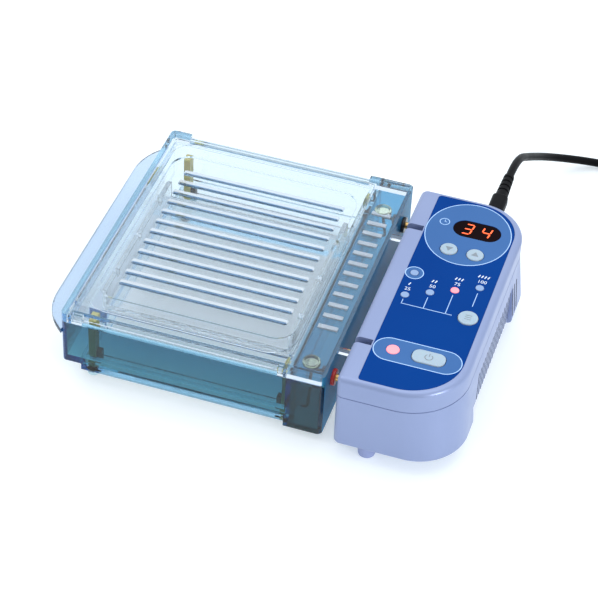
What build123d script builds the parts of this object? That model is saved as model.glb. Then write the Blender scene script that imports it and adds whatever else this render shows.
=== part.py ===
from build123d import *
import math
import os

# Bench gel tank with its own power unit, in millimetres, +Z up.
# X runs from the tank towards the power unit and Y from the front to the back.
# While it is modelled, X = Y = 0 is the tank's front left corner and Z = 0 the bench.

# Clear tank
tank_width = 152.0
tank_depth = 177.0
tank_wall = 3.0
tank_top = 41.0
tank_corner_radius = 3.0
skirt_top = 12.7
skirt_bottom = 5.0
skirt_inset = 3.5
skirt_left_inset = 10.0
compartment_width = 16.0
well_length = 31.0
platform_top = 22.0
shelf_drop = 1.5
shelf_thickness = 2.0
cover_thickness = 2.0
cover_ledge = 1.0
cover_gap = 0.15

# Carrying flange on the tank's left wall
flange_reach = 14.2
flange_thickness = 3.0
flange_middle = 33.0
flange_corner_radius = 36.0

# Ribs that the lid and the tank's right shelf share
rib_pitch = 9.5
lid_rib_count = 12
lid_rib_length = 98.8
lid_rib_width = 4.2
lid_rib_height = 1.2
lid_rib_left = 20.8
shelf_rib_count = 12
shelf_rib_length = 11.4
shelf_rib_width = 3.0
shelf_rib_height = 1.0

# Lid
lid_height = 6.0
lid_plate = 3.0
lid_rim = 2.6
lid_recess = 3.6
lid_block_left = 12.7
lid_block_right = 26.5
lid_step_height = 0.6
lid_sink = 0.6
lid_step_left = 7.0
lid_step_right = 22.5
lid_step_front = 9.0
lid_step_radius = 16.0
lid_sunk_left = 11.0
lid_sunk_right = 26.0
lid_sunk_front = 21.0
lid_sunk_radius = 12.0
lip_depth = 2.0
lip_wall = 1.6
lip_gap = 0.5

# Power unit
unit_gap = 8.4
unit_width = 65.6
unit_front_overhang = 7.6
unit_depth = 171.4
unit_top = 57.6
unit_seam = 44.7
unit_bottom = 8.6
unit_wall = 2.5
unit_left_radius = 4.0
unit_front_radius = 34.0
unit_back_radius = 28.0
unit_lean = 3.2
unit_lean_rounding = 1.6
unit_floor_radius = 3.0
unit_top_radius = 3.2
seam_line_depth = 0.35
seam_line_height = 0.5

# Vent slots, in a part of the right wall that stands back from its leaning ends, and the step under them
vent_count = 20
vent_pitch = 4.4
vent_width = 1.6
vent_bottom = 13.2
vent_top = 34.0
vent_middle = 89.3
vent_face_stand = 0.6
sill_depth = 4.0
sill_front = 33.0
sill_back = 121.0

# Front panel
panel_thickness = 0.6
panel_margin = 3.4
panel_left_margin = 10.8
panel_right_margin = 4.6
panel_corner_radius = 2.0
round_button_radius = 4.9
select_button_radius = 5.6
run_button_width = 18.4
run_button_depth = 10.0
button_travel = 0.8
button_stand = 0.7
button_gap = 0.3
button_flange = 0.8
display_width = 27.6
display_depth = 14.4
display_x = 39.6
display_y = 136.3
time_down_x = 28.5
time_up_x = 43.8
time_row_y = 115.2
select_x = 53.5
select_y = 62.5
run_x = 41.9
run_y = 24.2
run_light_x = 22.0
run_light_radius = 3.6
light_radius = 2.4
light_gap = 0.15
light_first_x = 15.8
light_first_y = 69.2
light_step_x = 12.5
light_step_y = 6.6
light_count = 4
option_light_y = 88.8

# Notches that take the lid's tabs
notch_width = 4.6
notch_length = 10.0
notch_front_y = 25.6
notch_spacing = 102.2
notch_wall = 1.5
tab_gap = 0.4

# Terminals between the tank and the unit
terminal_front_y = 17.0
terminal_back_inset = 22.0
terminal_z = 34.0
pin_radius = 2.0
pin_reach = 22.0
pin_fit = 0.1
collar_radius = 3.1
collar_flange_radius = 4.8
collar_flange_thickness = 2.0
socket_radius = 4.2
socket_flange_radius = 5.2
socket_flange_thickness = 1.0
socket_length = 18.0
sleeve_wall = 0.9
terminal_hole_gap = 0.1

# Electrodes
wire_radius = 0.35
wire_height = 12.0
wire_inset = 13.0
holder_width = 6.0
holder_depth = 4.0
holder_top = 38.0
holder_gap = 0.1
clip_height = 8.0
clip_depth = 3.0
clip_width = 4.0

# Gel tray
tray_side_gap = 7.0
tray_length = 105.0
tray_floor = 3.0
tray_height = 14.0
tray_wall = 3.0
tray_lift_gap = 0.2
comb_slot_width = 3.0
comb_slot_depth = 3.5
comb_slot_count = 3
comb_slot_pitch = 34.0

# Feet
tank_foot_radius = 3.5
tank_foot_x = 15.5
tank_foot_right = 21.0
tank_foot_y = 8.5
unit_foot_radius = 5.5
unit_foot_taper = 0.8
foot_edge = 1.2
unit_foot_places = ((17.8, 0.6), (17.8, 155.6), (60.5, 26.0), (60.5, 134.0))

# Inside the unit
board_thickness = 1.6
control_board_top = 50.0
control_board_left = 12.8
control_board_front = 8.0
control_board_back = 150.0
control_board_gap = 0.8
switch_size = 6.0
switch_height = 2.6
power_board_z = 17.0
power_board_left = 8.0
power_board_front = 24.0
power_board_size = (49.0, 112.0)
spacer_radius = 2.6
screw_radius = 1.5
screw_head_radius = 2.7
screw_head_height = 1.6
screw_hole_gap = 0.1
boss_radius = 3.6
boss_places = ((8.6, 2.0), (21.0, 143.0), (51.0, 12.0), (56.0, 141.5))
core_size = (32.0, 30.0, 24.0)
core_place = (14.0, 36.0)
winding_margin = 5.0
core_band = 5.0
winding_gap = 0.4
winding_core_gap = 0.2
capacitor_radius = 7.0
capacitor_height = 20.0
capacitor_place = (22.0, 84.0)
capacitor_pitch = 17.0
sink_size = (34.0, 18.0, 20.0)
sink_place = (12.0, 110.0)
sink_fin = 1.6
sink_fins = 7
reed_radius = 1.2
reed_length = 12.0
magnet_radius = 1.1
magnet_height = 1.2
magnet_gap = 0.1

# Mains lead: moulded strain relief, cord, coil and plug
entry_x = 42.4
entry_z = 46.0
entry_neck_width = 7.6
entry_neck_height = 7.0
entry_gap = 0.1
entry_flange_margin = 2.0
entry_flange_thickness = 2.0
entry_flange_inset = 4.4
grip_width = 9.4
grip_height = 8.6
grip_length = 20.0
relief_start = 7.8
relief_end = 6.2
relief_length = 22.0
cord_diameter = 5.0
coil_mean_radius = 27.8
coil_turn_pitch = 6.8
coil_layer_pitch = 5.7
coil_layers = 4
coil_half_turns = 4
coil_beside_unit = 73.0
coil_behind_tank = 85.0
plug_width = 24.0
plug_height = 15.0
plug_length = 22.0
plug_relief_length = 20.0
blade_width = 1.5
blade_height = 6.3
blade_length = 17.0
blade_spacing = 12.7
plug_beside_coil = 80.0
plug_before_coil = 84.0

# Places worked out from the sizes above
tank_middle = tank_depth / 2
partition_right = tank_width - tank_wall - compartment_width
partition_left = partition_right - tank_wall
shelf_top = tank_top - shelf_drop
platform_front = tank_wall + well_length
platform_back = tank_depth - platform_front
lid_top = tank_top + lid_height
unit_left = tank_width + unit_gap
unit_right = unit_left + unit_width
unit_front = -unit_front_overhang
unit_back = unit_front + unit_depth
cap_under = unit_top - panel_thickness - 2.0
entry_place_x = unit_left + entry_x
notch_rows = (notch_front_y, notch_front_y + notch_spacing)
terminal_rows = (terminal_front_y, tank_depth - terminal_back_inset)
rib_rows = [tank_middle + rib_pitch * (i - (lid_rib_count - 1) / 2) for i in range(lid_rib_count)]
shelf_rib_rows = [rib_rows[1] + rib_pitch * i for i in range(shelf_rib_count)]
well_rows = ((tank_wall + skirt_inset, platform_front), (platform_back, tank_depth - tank_wall - skirt_inset))
wire_rows = (wire_inset, tank_depth - wire_inset)
cord_radius = cord_diameter / 2
centre_x = (unit_right - flange_reach) / 2
centre_y = (tank_depth + unit_front) / 2

# The free lead's route, from the strain relief to the coil, and from the coil to the plug
lead_start_y = unit_back + grip_length + relief_length
coil_x = unit_right + coil_beside_unit
coil_y = tank_depth + coil_behind_tank
coil_outer = coil_mean_radius + coil_turn_pitch * coil_half_turns / 4
coil_end_radius = coil_outer - coil_turn_pitch / 2
coil_end_z = cord_radius + coil_layer_pitch * (coil_layers - 1)
lead_points = (
    (entry_place_x, lead_start_y, entry_z),
    (entry_place_x, lead_start_y + 20.0, entry_z),
    (entry_place_x + 3.0, lead_start_y + 46.0, entry_z - 17.0),
    (entry_place_x + 12.0, lead_start_y + 72.0, cord_radius + 10.0),
    (entry_place_x + 36.0, coil_y + coil_outer - 2.0, cord_radius + 0.6),
    (coil_x - 26.0, coil_y + coil_outer, cord_radius),
    (coil_x, coil_y + coil_outer, cord_radius),
)
plug_turn_x = coil_x + plug_beside_coil
plug_entry = (plug_turn_x, coil_y + coil_end_radius - plug_before_coil, plug_height / 2)
tail_points = (
    (coil_x, coil_y + coil_end_radius, coil_end_z),
    (coil_x + 32.0, coil_y + coil_end_radius, coil_end_z),
    (coil_x + 64.0, coil_y + coil_end_radius - 18.0, plug_height / 2 + 5.0),
    (plug_turn_x, coil_y + coil_end_radius - 52.0, plug_height / 2),
    plug_entry,
)


def block(x0, x1, y0, y1, z0, z1):
    """A box given by its six sides."""
    low = (Align.MIN, Align.MIN, Align.MIN)
    return Pos(x0, y0, z0) * Box(x1 - x0, y1 - y0, z1 - z0, align=low)


def rod(x, y, z, radius, length, direction="Z"):
    """A round bar that starts at a point and runs along one axis."""
    turn = {"X": Rot(0, 90, 0), "Y": Rot(-90, 0, 0), "Z": Rot(0, 0, 0)}[direction]
    low = (Align.CENTER, Align.CENTER, Align.MIN)
    return Pos(x, y, z) * turn * Cylinder(radius, length, align=low)


def joined(pieces):
    """All pieces of a list as one shape."""
    shape = pieces[0]
    for piece in pieces[1:]:
        shape += piece
    return shape


def round_plan(x0, x1, y0, y1, radius):
    """A rectangle with round corners, flat on the bench."""
    return Pos((x0 + x1) / 2, (y0 + y1) / 2) * RectangleRounded(x1 - x0, y1 - y0, radius)


def slab(plan, z0, z1):
    """A flat outline raised between two heights."""
    return Pos(0, 0, z0) * extrude(plan, z1 - z0)


def corner_plan(left, right, front, back, corners):
    """A rectangle whose corners, named by their x and y, are rounded one by one."""
    plan = Pos((left + right) / 2, (front + back) / 2) * Rectangle(right - left, back - front)
    for x, y, radius in corners:
        vertex = plan.vertices().sort_by_distance((x, y, 0))[0]
        plan = fillet(vertex, radius)
    return plan


def unit_plan(inset, lean=0.0):
    """The power unit's outline: square at the tank, with two large curves on the right."""
    left, right = unit_left + inset, unit_right + lean - inset
    front, back = unit_front + inset, unit_back - inset
    less = inset + lean * unit_lean_rounding
    corners = (
        (left, front, max(unit_left_radius - inset, 0.8)),
        (left, back, max(unit_left_radius - inset, 0.8)),
        (right, front, unit_front_radius - less),
        (right, back, unit_back_radius - less),
    )
    return corner_plan(left, right, front, back, corners)


def leaning_body(inset, base):
    """The unit's outline from a height up to the seam, its right wall leaning out downwards."""
    lean = unit_lean * (unit_seam - base) / (unit_seam - unit_bottom)
    sections = [Pos(0, 0, base) * unit_plan(inset, lean), Pos(0, 0, unit_seam) * unit_plan(inset)]
    return loft(sections, ruled=True)


def panel_plan(inset):
    """The blue panel's outline, in step with the unit's own."""
    left, right = unit_left + panel_left_margin + inset, unit_right - panel_right_margin - inset
    front, back = unit_front + panel_margin + inset, unit_back - panel_margin - inset
    corners = (
        (left, front, panel_corner_radius),
        (left, back, panel_corner_radius),
        (right, front, unit_front_radius - panel_margin - inset),
        (right, back, unit_back_radius - panel_margin - inset),
    )
    return corner_plan(left, right, front, back, corners)


def display_plan(gap):
    """The display's stadium outline."""
    shape = SlotOverall(display_width + 2 * gap, display_depth + 2 * gap)
    return Pos(unit_left + display_x, display_y) * shape


def run_button_plan(gap):
    """The start button's outline, a wide rounded pad."""
    width, depth = run_button_width + 2 * gap, run_button_depth + 2 * gap
    return Pos(unit_left + run_x, run_y) * RectangleRounded(width, depth, depth * 0.42)


def round_plan_at(x, y, radius):
    """A circle on the panel, placed from the unit's left face."""
    return Pos(unit_left + x, y) * Circle(radius)


def light_places():
    """Middles of the four voltage lights."""
    return [(light_first_x + light_step_x * i, light_first_y + light_step_y * i) for i in range(light_count)]


def button_plans(gap):
    """Outlines of the four buttons, each grown by a gap."""
    return {
        "time_down_button": round_plan_at(time_down_x, time_row_y, round_button_radius + gap),
        "time_up_button": round_plan_at(time_up_x, time_row_y, round_button_radius + gap),
        "voltage_button": round_plan_at(select_x, select_y, select_button_radius + gap),
        "run_button": run_button_plan(gap),
    }


def panel_openings(z0, z1):
    """Everything that passes through the top: buttons, lights and display."""
    gap = light_gap
    plans = list(button_plans(button_gap).values())
    plans += [round_plan_at(x, y, light_radius + gap) for x, y in light_places()]
    plans += [round_plan_at(light_first_x, option_light_y, light_radius + gap)]
    plans += [round_plan_at(run_light_x, run_y, run_light_radius + gap)]
    plans += [display_plan(gap)]
    return [slab(plan, z0, z1) for plan in plans]


def tank_outer():
    """The tank's outside: upper box, inset skirt and the terminal block at full depth."""
    box = block(0, tank_width, 0, tank_depth, skirt_top, tank_top)
    skirt = block(
        skirt_left_inset, tank_width, skirt_inset, tank_depth - skirt_inset, skirt_bottom, skirt_top + 1
    )
    foot = block(partition_left, tank_width, 0, tank_depth, skirt_bottom, skirt_top + 1)
    body = box + skirt + foot
    upright = body.edges().filter_by(Axis.Z)
    outside = [e for e in upright if e.center().X < 1 or e.center().X > tank_width - 1]
    return fillet(outside, tank_corner_radius)


def tank_hollows():
    """The chamber, its two wells, the space under the platform and the terminal compartment."""
    floor = skirt_bottom + tank_wall
    chamber = block(
        tank_wall, partition_left, tank_wall, tank_depth - tank_wall, platform_top, tank_top + 1
    )
    hollows = [chamber]
    upper_rows = ((tank_wall, platform_front), (platform_back, tank_depth - tank_wall))
    for y0, y1 in upper_rows:
        hollows.append(block(tank_wall, partition_left, y0, y1, skirt_top + tank_wall, tank_top))
    for y0, y1 in well_rows:
        left = skirt_left_inset + tank_wall
        hollows.append(block(left, partition_left, y0, y1, floor, tank_top))
    under = block(
        skirt_left_inset + tank_wall,
        partition_left,
        platform_front + tank_wall,
        platform_back - tank_wall,
        0,
        platform_top - tank_wall,
    )
    hollows.append(under)
    compartment = block(
        partition_right,
        partition_right + compartment_width,
        tank_wall,
        tank_depth - tank_wall,
        0,
        shelf_top - shelf_thickness,
    )
    hollows.append(compartment)
    rebate = block(
        partition_right - cover_ledge,
        tank_width - tank_wall + cover_ledge,
        tank_wall - cover_ledge,
        tank_depth - tank_wall + cover_ledge,
        0,
        skirt_bottom + cover_thickness,
    )
    hollows.append(rebate)
    sunk_shelf = block(
        partition_right,
        partition_right + compartment_width,
        tank_wall,
        tank_depth - tank_wall,
        shelf_top,
        tank_top + 1,
    )
    hollows.append(sunk_shelf)
    return hollows


def flange():
    """The carrying flange: a long plate whose ends curve back to the wall."""
    radius = flange_corner_radius
    centre = radius - flange_reach
    run = math.sqrt(radius**2 - centre**2)
    half = tank_depth / 2
    mid = math.radians(180) - math.acos(centre / radius) / 2
    mid_x, mid_y = centre + radius * math.cos(mid), radius * math.sin(mid)
    with BuildSketch() as plan:
        with BuildLine():
            Line((0, half), (0, -half))
            ThreePointArc((0, -half), (mid_x, -half + run - mid_y), (-flange_reach, -half + run))
            Line((-flange_reach, -half + run), (-flange_reach, half - run))
            ThreePointArc((-flange_reach, half - run), (mid_x, half - run + mid_y), (0, half))
        make_face()
    shape = Pos(0, tank_middle, flange_middle - flange_thickness / 2) * extrude(plan.sketch, flange_thickness)
    rim = shape.edges().filter_by(lambda e: e.center().X < -0.5)
    return fillet(rim, flange_thickness * 0.3)


def tank_shell():
    """The clear moulded tank in one piece."""
    shell = tank_outer()
    for hollow in tank_hollows():
        shell -= hollow
    shell += flange()
    left = partition_right + (compartment_width - shelf_rib_length) / 2 - 1.0
    for y in shelf_rib_rows:
        rib = block(
            left,
            left + shelf_rib_length,
            y - shelf_rib_width / 2,
            y + shelf_rib_width / 2,
            shelf_top - 0.5,
            shelf_top + shelf_rib_height,
        )
        shell += rib
    for y in terminal_rows:
        radius = collar_radius + terminal_hole_gap
        shell -= rod(tank_width - tank_wall - 1, y, terminal_z, radius, tank_wall + 2, "X")
        low = shelf_top - shelf_thickness
        shell -= rod(plug_place_x(), y, low - 1, shelf_plug_radius() + cover_gap, shelf_thickness + 3)
    for y in wire_rows:
        shell -= rod(partition_left - 1, y, wire_height, wire_radius + holder_gap, tank_wall + 2, "X")
    return shell


def plug_place_x():
    """X of the round plugs in the shelf above the terminals."""
    return partition_right + compartment_width * 0.42


def shelf_plug_radius():
    """Radius of the round plugs in the shelf."""
    return compartment_width * 0.31


def shelf_plugs():
    """Two yellow ring plugs that close the shelf above the terminals."""
    plugs = []
    radius = shelf_plug_radius()
    for y in terminal_rows:
        low = shelf_top - shelf_thickness
        plug = rod(plug_place_x(), y, low, radius, shelf_thickness + shelf_rib_height)
        plug -= rod(plug_place_x(), y, shelf_top - 0.8, radius - 1.1, shelf_drop + 2)
        plugs.append(plug)
    return joined(plugs)


def compartment_cover():
    """The plate that closes the terminal compartment from below."""
    return block(
        partition_right - cover_ledge + cover_gap,
        tank_width - tank_wall + cover_ledge - cover_gap,
        tank_wall - cover_ledge + cover_gap,
        tank_depth - tank_wall + cover_ledge - cover_gap,
        skirt_bottom,
        skirt_bottom + cover_thickness,
    )


def tank_feet():
    """Four small round feet under the skirt."""
    feet = []
    for x in (tank_foot_x, tank_width - tank_foot_right):
        for y in (tank_foot_y, tank_depth - tank_foot_y):
            foot = rod(x, y, 0, tank_foot_radius, skirt_bottom)
            feet.append(fillet(foot.edges().group_by(Axis.Z)[0], foot_edge))
    return joined(feet)


def holder_span():
    """Left and right ends of the space between the electrode holders."""
    return skirt_left_inset + tank_wall + holder_gap, partition_left - holder_gap


def electrode_holders():
    """Four yellow uprights that carry the two wires at the ends of the wells."""
    left, right = holder_span()
    base = skirt_bottom + tank_wall
    holders = []
    for y in wire_rows:
        for x0, x1 in ((left, left + holder_depth), (right - holder_depth, right)):
            post = block(x0, x1, y - holder_width / 2, y + holder_width / 2, base, holder_top)
            top = post.edges().group_by(Axis.Z)[-1].filter_by(Axis.X)
            post = fillet(top, 1.2)
            post -= rod(x0 - 1, y, wire_height, wire_radius + holder_gap, holder_depth + 2, "X")
            holders.append(post)
    return joined(holders)


def electrode_clips():
    """Black clips that press each wire against the foot of its holder."""
    left, right = holder_span()
    clips = []
    for y in wire_rows:
        for x0 in (left + holder_depth, right - holder_depth - clip_depth):
            z0 = wire_height - clip_height / 2
            clip = block(
                x0, x0 + clip_depth, y - clip_width / 2, y + clip_width / 2, z0, z0 + clip_height
            )
            clip = fillet(clip.edges().filter_by(Axis.X), 0.8)
            clip -= rod(x0 - 1, y, wire_height, wire_radius + holder_gap, clip_depth + 2, "X")
            clips.append(clip)
    return joined(clips)


def electrode_wire(row):
    """A fine wire along a well, through the partition into the terminal compartment."""
    left = holder_span()[0] + 1.0
    return rod(left, wire_rows[row], wire_height, wire_radius, partition_right + 4.0 - left, "X")


def terminal_lead(row):
    """The insulated lead that joins a wire to the inner end of its terminal."""
    start = Vector(partition_right + 4.0, wire_rows[row], wire_height)
    end = Vector(tank_width - tank_wall - 3.0, terminal_rows[row], terminal_z)
    middle = partition_right + 7.0
    points = (
        start,
        Vector(middle, start.Y, start.Z),
        Vector(middle, end.Y, end.Z),
        end,
    )
    path = FilletPolyline(*points, radius=2.0)
    section = Plane(origin=start, z_dir=(1, 0, 0)) * Circle(0.9)
    return sweep(section, path=path)


def terminal_collar(row):
    """The coloured collar that holds a terminal pin in the tank's right wall."""
    y = terminal_rows[row]
    inside = tank_width - tank_wall
    collar = rod(inside - 3.0, y, terminal_z, collar_radius, tank_wall + 3.0, "X")
    collar += rod(tank_width, y, terminal_z, collar_flange_radius, collar_flange_thickness, "X")
    outer = collar.edges().filter_by(GeomType.CIRCLE).sort_by(Axis.X)[-1:]
    collar = fillet(outer, 0.6)
    return collar - rod(inside - 4.0, y, terminal_z, pin_radius, tank_wall + 8.0, "X")


def terminal_pin(row):
    """The plated pin that plugs into the power unit."""
    y = terminal_rows[row]
    start = tank_width - tank_wall - 3.0
    pin = rod(start, y, terminal_z, pin_radius, tank_width + pin_reach - start, "X")
    tip = pin.edges().filter_by(GeomType.CIRCLE).sort_by(Axis.X)[-1:]
    return fillet(tip, 1.2)


def terminal_socket(row):
    """The insulated socket in the unit's left wall that takes a terminal pin."""
    y = terminal_rows[row]
    start = unit_left - socket_flange_thickness
    socket = rod(unit_left, y, terminal_z, socket_radius, socket_length, "X")
    socket += rod(start, y, terminal_z, socket_flange_radius, socket_flange_thickness, "X")
    return socket - rod(start - 1, y, terminal_z, sleeve_outer(), socket_length + 1, "X")


def sleeve_outer():
    """Outside radius of the metal sleeve in a socket."""
    return pin_radius + pin_fit + sleeve_wall


def socket_sleeves():
    """The two metal sleeves that touch the pins."""
    sleeves = []
    for y in terminal_rows:
        length = socket_length
        sleeve = rod(unit_left - socket_flange_thickness, y, terminal_z, sleeve_outer(), length, "X")
        sleeve -= rod(unit_left - 3, y, terminal_z, pin_radius + pin_fit, length + 6, "X")
        sleeves.append(sleeve)
    return joined(sleeves)


def lid_plan():
    """The lid from above: recessed front and back edges between four corner blocks."""
    plan = Pos(tank_width / 2, tank_middle) * Rectangle(tank_width, tank_depth - 2 * lid_recess)
    for y in (0.0, tank_depth):
        middle = abs(y - (lid_recess + 2) / 2)
        for x0, x1 in ((0, lid_block_left), (tank_width - lid_block_right, tank_width)):
            plan += Pos((x0 + x1) / 2, middle) * Rectangle(x1 - x0, lid_recess + 2)
    corners = [v for v in plan.vertices() if v.X in (0, tank_width)]
    return fillet(corners, tank_corner_radius)


def lid():
    """The clear lid: stepped plate, rim, ribs, locating lip and two tabs."""
    body = slab(lid_plan(), tank_top, lid_top)
    inner = block(
        lid_rim,
        tank_width - lid_rim,
        lid_recess + lid_rim,
        tank_depth - lid_recess - lid_rim,
        tank_top - 1,
        lid_top - lid_plate,
    )
    body -= inner
    step = round_plan(
        lid_step_left,
        tank_width - lid_step_right,
        lid_step_front,
        tank_depth - lid_step_front,
        lid_step_radius,
    )
    body += slab(step, lid_top - 1, lid_top + lid_step_height)
    sunk = round_plan(
        lid_sunk_left,
        tank_width - lid_sunk_right,
        lid_sunk_front,
        tank_depth - lid_sunk_front,
        lid_sunk_radius,
    )
    floor = lid_top - lid_sink
    body -= slab(sunk, floor, lid_top + 2)
    for y in rib_rows:
        middle = lid_rib_left + lid_rib_length / 2
        outline = Pos(middle, y) * RectangleRounded(lid_rib_length, lid_rib_width, lid_rib_width * 0.3)
        rib = slab(outline, floor - 0.5, floor + lid_rib_height)
        top = rib.edges().group_by(Axis.Z)[-1]
        body += chamfer(top, lid_rib_height * 0.55, lid_rib_width * 0.25)
    body += lid_lip()
    for y in notch_rows:
        body += lid_tab(y)
    return body


def lid_lip():
    """The ring under the lid that locates it inside the chamber."""
    x0, x1 = tank_wall + lip_gap, partition_left - lip_gap
    y0, y1 = tank_wall + lip_gap, tank_depth - tank_wall - lip_gap
    low, high = tank_top - lip_depth, lid_top - lid_plate + 0.5
    ring = slab(round_plan(x0, x1, y0, y1, 2.0), low, high)
    hollow = round_plan(x0 + lip_wall, x1 - lip_wall, y0 + lip_wall, y1 - lip_wall, 1.0)
    return ring - slab(hollow, low - 1, high + 1)


def lid_tab(y):
    """A tab that drops into a notch of the power unit and carries a magnet."""
    half = notch_width / 2 - tab_gap
    end = unit_left + notch_length - tab_gap
    tab = block(tank_width - lid_rim, end, y - half, y + half, unit_seam + tab_gap, lid_top)
    tab = fillet(tab.edges().filter_by(Axis.Z).sort_by(Axis.X)[-2:], half * 0.5)
    hole = rod(magnet_x(), y, unit_seam, magnet_radius + magnet_gap, tab_gap + magnet_height + magnet_gap)
    return tab - hole


def magnet_x():
    """X of the magnets, near the tabs' ends."""
    return unit_left + notch_length - tab_gap - 2.6


def lid_magnets():
    """Two small magnets in the tabs' undersides."""
    magnets = [rod(magnet_x(), y, unit_seam + tab_gap, magnet_radius, magnet_height) for y in notch_rows]
    return joined(magnets)


def gel_tray():
    """The clear tray: a floor, two side walls and slots for a comb."""
    x0 = tank_wall + tray_side_gap
    x1 = partition_left - tray_side_gap
    y0 = tank_middle - tray_length / 2
    y1 = tank_middle + tray_length / 2
    z0 = platform_top + tray_lift_gap
    tray = block(x0, x1, y0, y1, z0, z0 + tray_height)
    tray -= block(x0 + tray_wall, x1 - tray_wall, y0 - 1, y1 + 1, z0 + tray_floor, z0 + tray_height + 1)
    for i in range(comb_slot_count):
        y = tank_middle + comb_slot_pitch * (i - (comb_slot_count - 1) / 2)
        slot = block(
            x0 - 1,
            x1 + 1,
            y - comb_slot_width / 2,
            y + comb_slot_width / 2,
            z0 + tray_height - comb_slot_depth,
            z0 + tray_height + 1,
        )
        tray -= slot
    uprights = tray.edges().filter_by(Axis.Z)
    ends = [e for e in uprights if e.center().Y < y0 + 1 or e.center().Y > y1 - 1]
    outer = [e for e in ends if e.center().X < x0 + 1 or e.center().X > x1 - 1]
    return fillet(outer, 1.5)


def lower_case():
    """The unit's lower shell with vents, sill, bosses and openings."""
    case = leaning_body(0, unit_bottom)
    case = fillet(case.faces().sort_by(Axis.Z)[0].edges(), unit_floor_radius)
    face_x, outside = unit_right + vent_face_stand, unit_right + unit_lean + 1
    case -= block(face_x, outside, sill_front, sill_back, 0, unit_seam - seam_line_height)
    line = slab(unit_plan(-1), unit_seam - seam_line_height, unit_seam)
    case -= line - slab(unit_plan(seam_line_depth), unit_seam - seam_line_height, unit_seam)
    sill = block(unit_right - sill_depth, outside, sill_front, sill_back, 0, vent_bottom)
    case -= fillet(sill.edges().filter_by(Axis.X), 2.0)
    hollow = leaning_body(unit_wall, unit_bottom + unit_wall)
    hollow -= block(face_x - unit_wall, outside, sill_front - unit_wall, sill_back + unit_wall, 0, unit_seam)
    hollow += slab(unit_plan(unit_wall), unit_seam - 0.5, unit_seam + 1)
    kept = block(
        unit_right - sill_depth - unit_wall,
        unit_right,
        sill_front - unit_wall,
        sill_back + unit_wall,
        0,
        vent_bottom + unit_wall,
    )
    case -= hollow - kept
    case -= vent_slots()
    for x, y in boss_places:
        case += rod(unit_left + x, y, unit_bottom + 1, boss_radius, unit_seam - unit_bottom - 1)
        case -= rod(unit_left + x, y, 0, screw_radius + screw_hole_gap, unit_seam + 1)
        case -= rod(unit_left + x, y, 0, screw_head_radius + 0.3, unit_bottom + screw_head_height + 0.6)
    for x, y in spacer_places():
        case += rod(x, y, unit_bottom + 1, spacer_radius, power_board_z - unit_bottom - 1)
    for y in terminal_rows:
        case -= rod(unit_left - 1, y, terminal_z, socket_radius + terminal_hole_gap, unit_wall + 2, "X")
    return case - entry_hole()


def vent_slots():
    """The row of upright slots in the right wall."""
    slots = []
    for i in range(vent_count):
        y = vent_middle + vent_pitch * (i - (vent_count - 1) / 2)
        low = vent_bottom - 1 if sill_front < y < sill_back else vent_bottom
        slots.append(
            block(
                unit_right - unit_wall - 1.5,
                unit_right + unit_lean,
                y - vent_width / 2,
                y + vent_width / 2,
                low,
                vent_top,
            )
        )
    return joined(slots)


def spacer_places():
    """Middles of the four posts that carry the power board."""
    x0, y0 = unit_left + power_board_left + 4, power_board_front + 4
    x1, y1 = x0 + power_board_size[0] - 8, y0 + power_board_size[1] - 8
    return [(x0, y0), (x0, y1), (x1, y0), (x1, y1)]


def entry_block(width, height, y0, y1):
    """A block round the lead's entry, between two depths."""
    return block(
        entry_place_x - width / 2,
        entry_place_x + width / 2,
        y0,
        y1,
        entry_z - height / 2,
        entry_z + height / 2,
    )


def entry_hole():
    """The opening in both shells for the strain relief's neck."""
    width, height = entry_neck_width + 2 * entry_gap, entry_neck_height + 2 * entry_gap
    return entry_block(width, height, unit_back - entry_flange_inset, unit_back + 1)


def notch_box(y, gap, base):
    """The room that a notch takes, grown by a gap, open to the left and the top."""
    half = notch_width / 2 + gap
    return block(unit_left - 1, unit_left + notch_length + gap, y - half, y + half, base, unit_top + 1)


def upper_case():
    """The unit's upper shell with the two notches and the recess for the panel."""
    case = slab(unit_plan(0), unit_seam, unit_top)
    case = fillet(case.faces().sort_by(Axis.Z)[-1].edges(), unit_top_radius)
    hollow = slab(unit_plan(unit_wall), unit_seam - 1, cap_under)
    for y in notch_rows:
        hollow -= notch_box(y, notch_wall, unit_seam - 2)
    case -= hollow
    for y in notch_rows:
        floor = notch_box(y, notch_wall, unit_seam - notch_wall)
        inside = slab(unit_plan(unit_wall + 0.2), unit_seam - notch_wall, unit_seam)
        case += floor & inside
        case -= notch_box(y, 0.0, unit_seam)
    for x, y in boss_places:
        case += rod(unit_left + x, y, unit_seam, boss_radius, cap_under - unit_seam)
        case -= rod(unit_left + x, y, unit_seam - 1, screw_radius + screw_hole_gap, 8.0)
    case -= slab(panel_plan(-0.1), unit_top - panel_thickness, unit_top + 1)
    for opening in panel_openings(cap_under - 1, unit_top + 1):
        case -= opening
    return case - entry_hole()


def panel_overlay():
    """The blue panel in its recess."""
    panel = slab(panel_plan(0.0), unit_top - panel_thickness, unit_top)
    for opening in panel_openings(unit_top - panel_thickness - 1, unit_top + 1):
        panel -= opening
    return panel


def button(name):
    """A button with its flange under the top and a foot that meets its switch."""
    top = unit_top + button_stand
    flange_top = cap_under - button_gap
    flange_low = flange_top - 1.0
    cap = slab(button_plans(0.0)[name], flange_top - 0.1, top)
    cap = fillet(cap.edges().group_by(Axis.Z)[-1], button_stand * 0.8)
    return cap + slab(button_plans(button_flange)[name], flange_low, flange_top)


def display_window():
    """The dark window over the display."""
    return slab(display_plan(0.0), cap_under, unit_top)


def display_module():
    """The two-digit module that stands on the control board under the window."""
    width, depth = display_width - 4, display_depth - 4
    x, y = unit_left + display_x, display_y
    return block(
        x - width / 2, x + width / 2, y - depth / 2, y + depth / 2, control_board_top, cap_under - 0.2
    )


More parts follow.
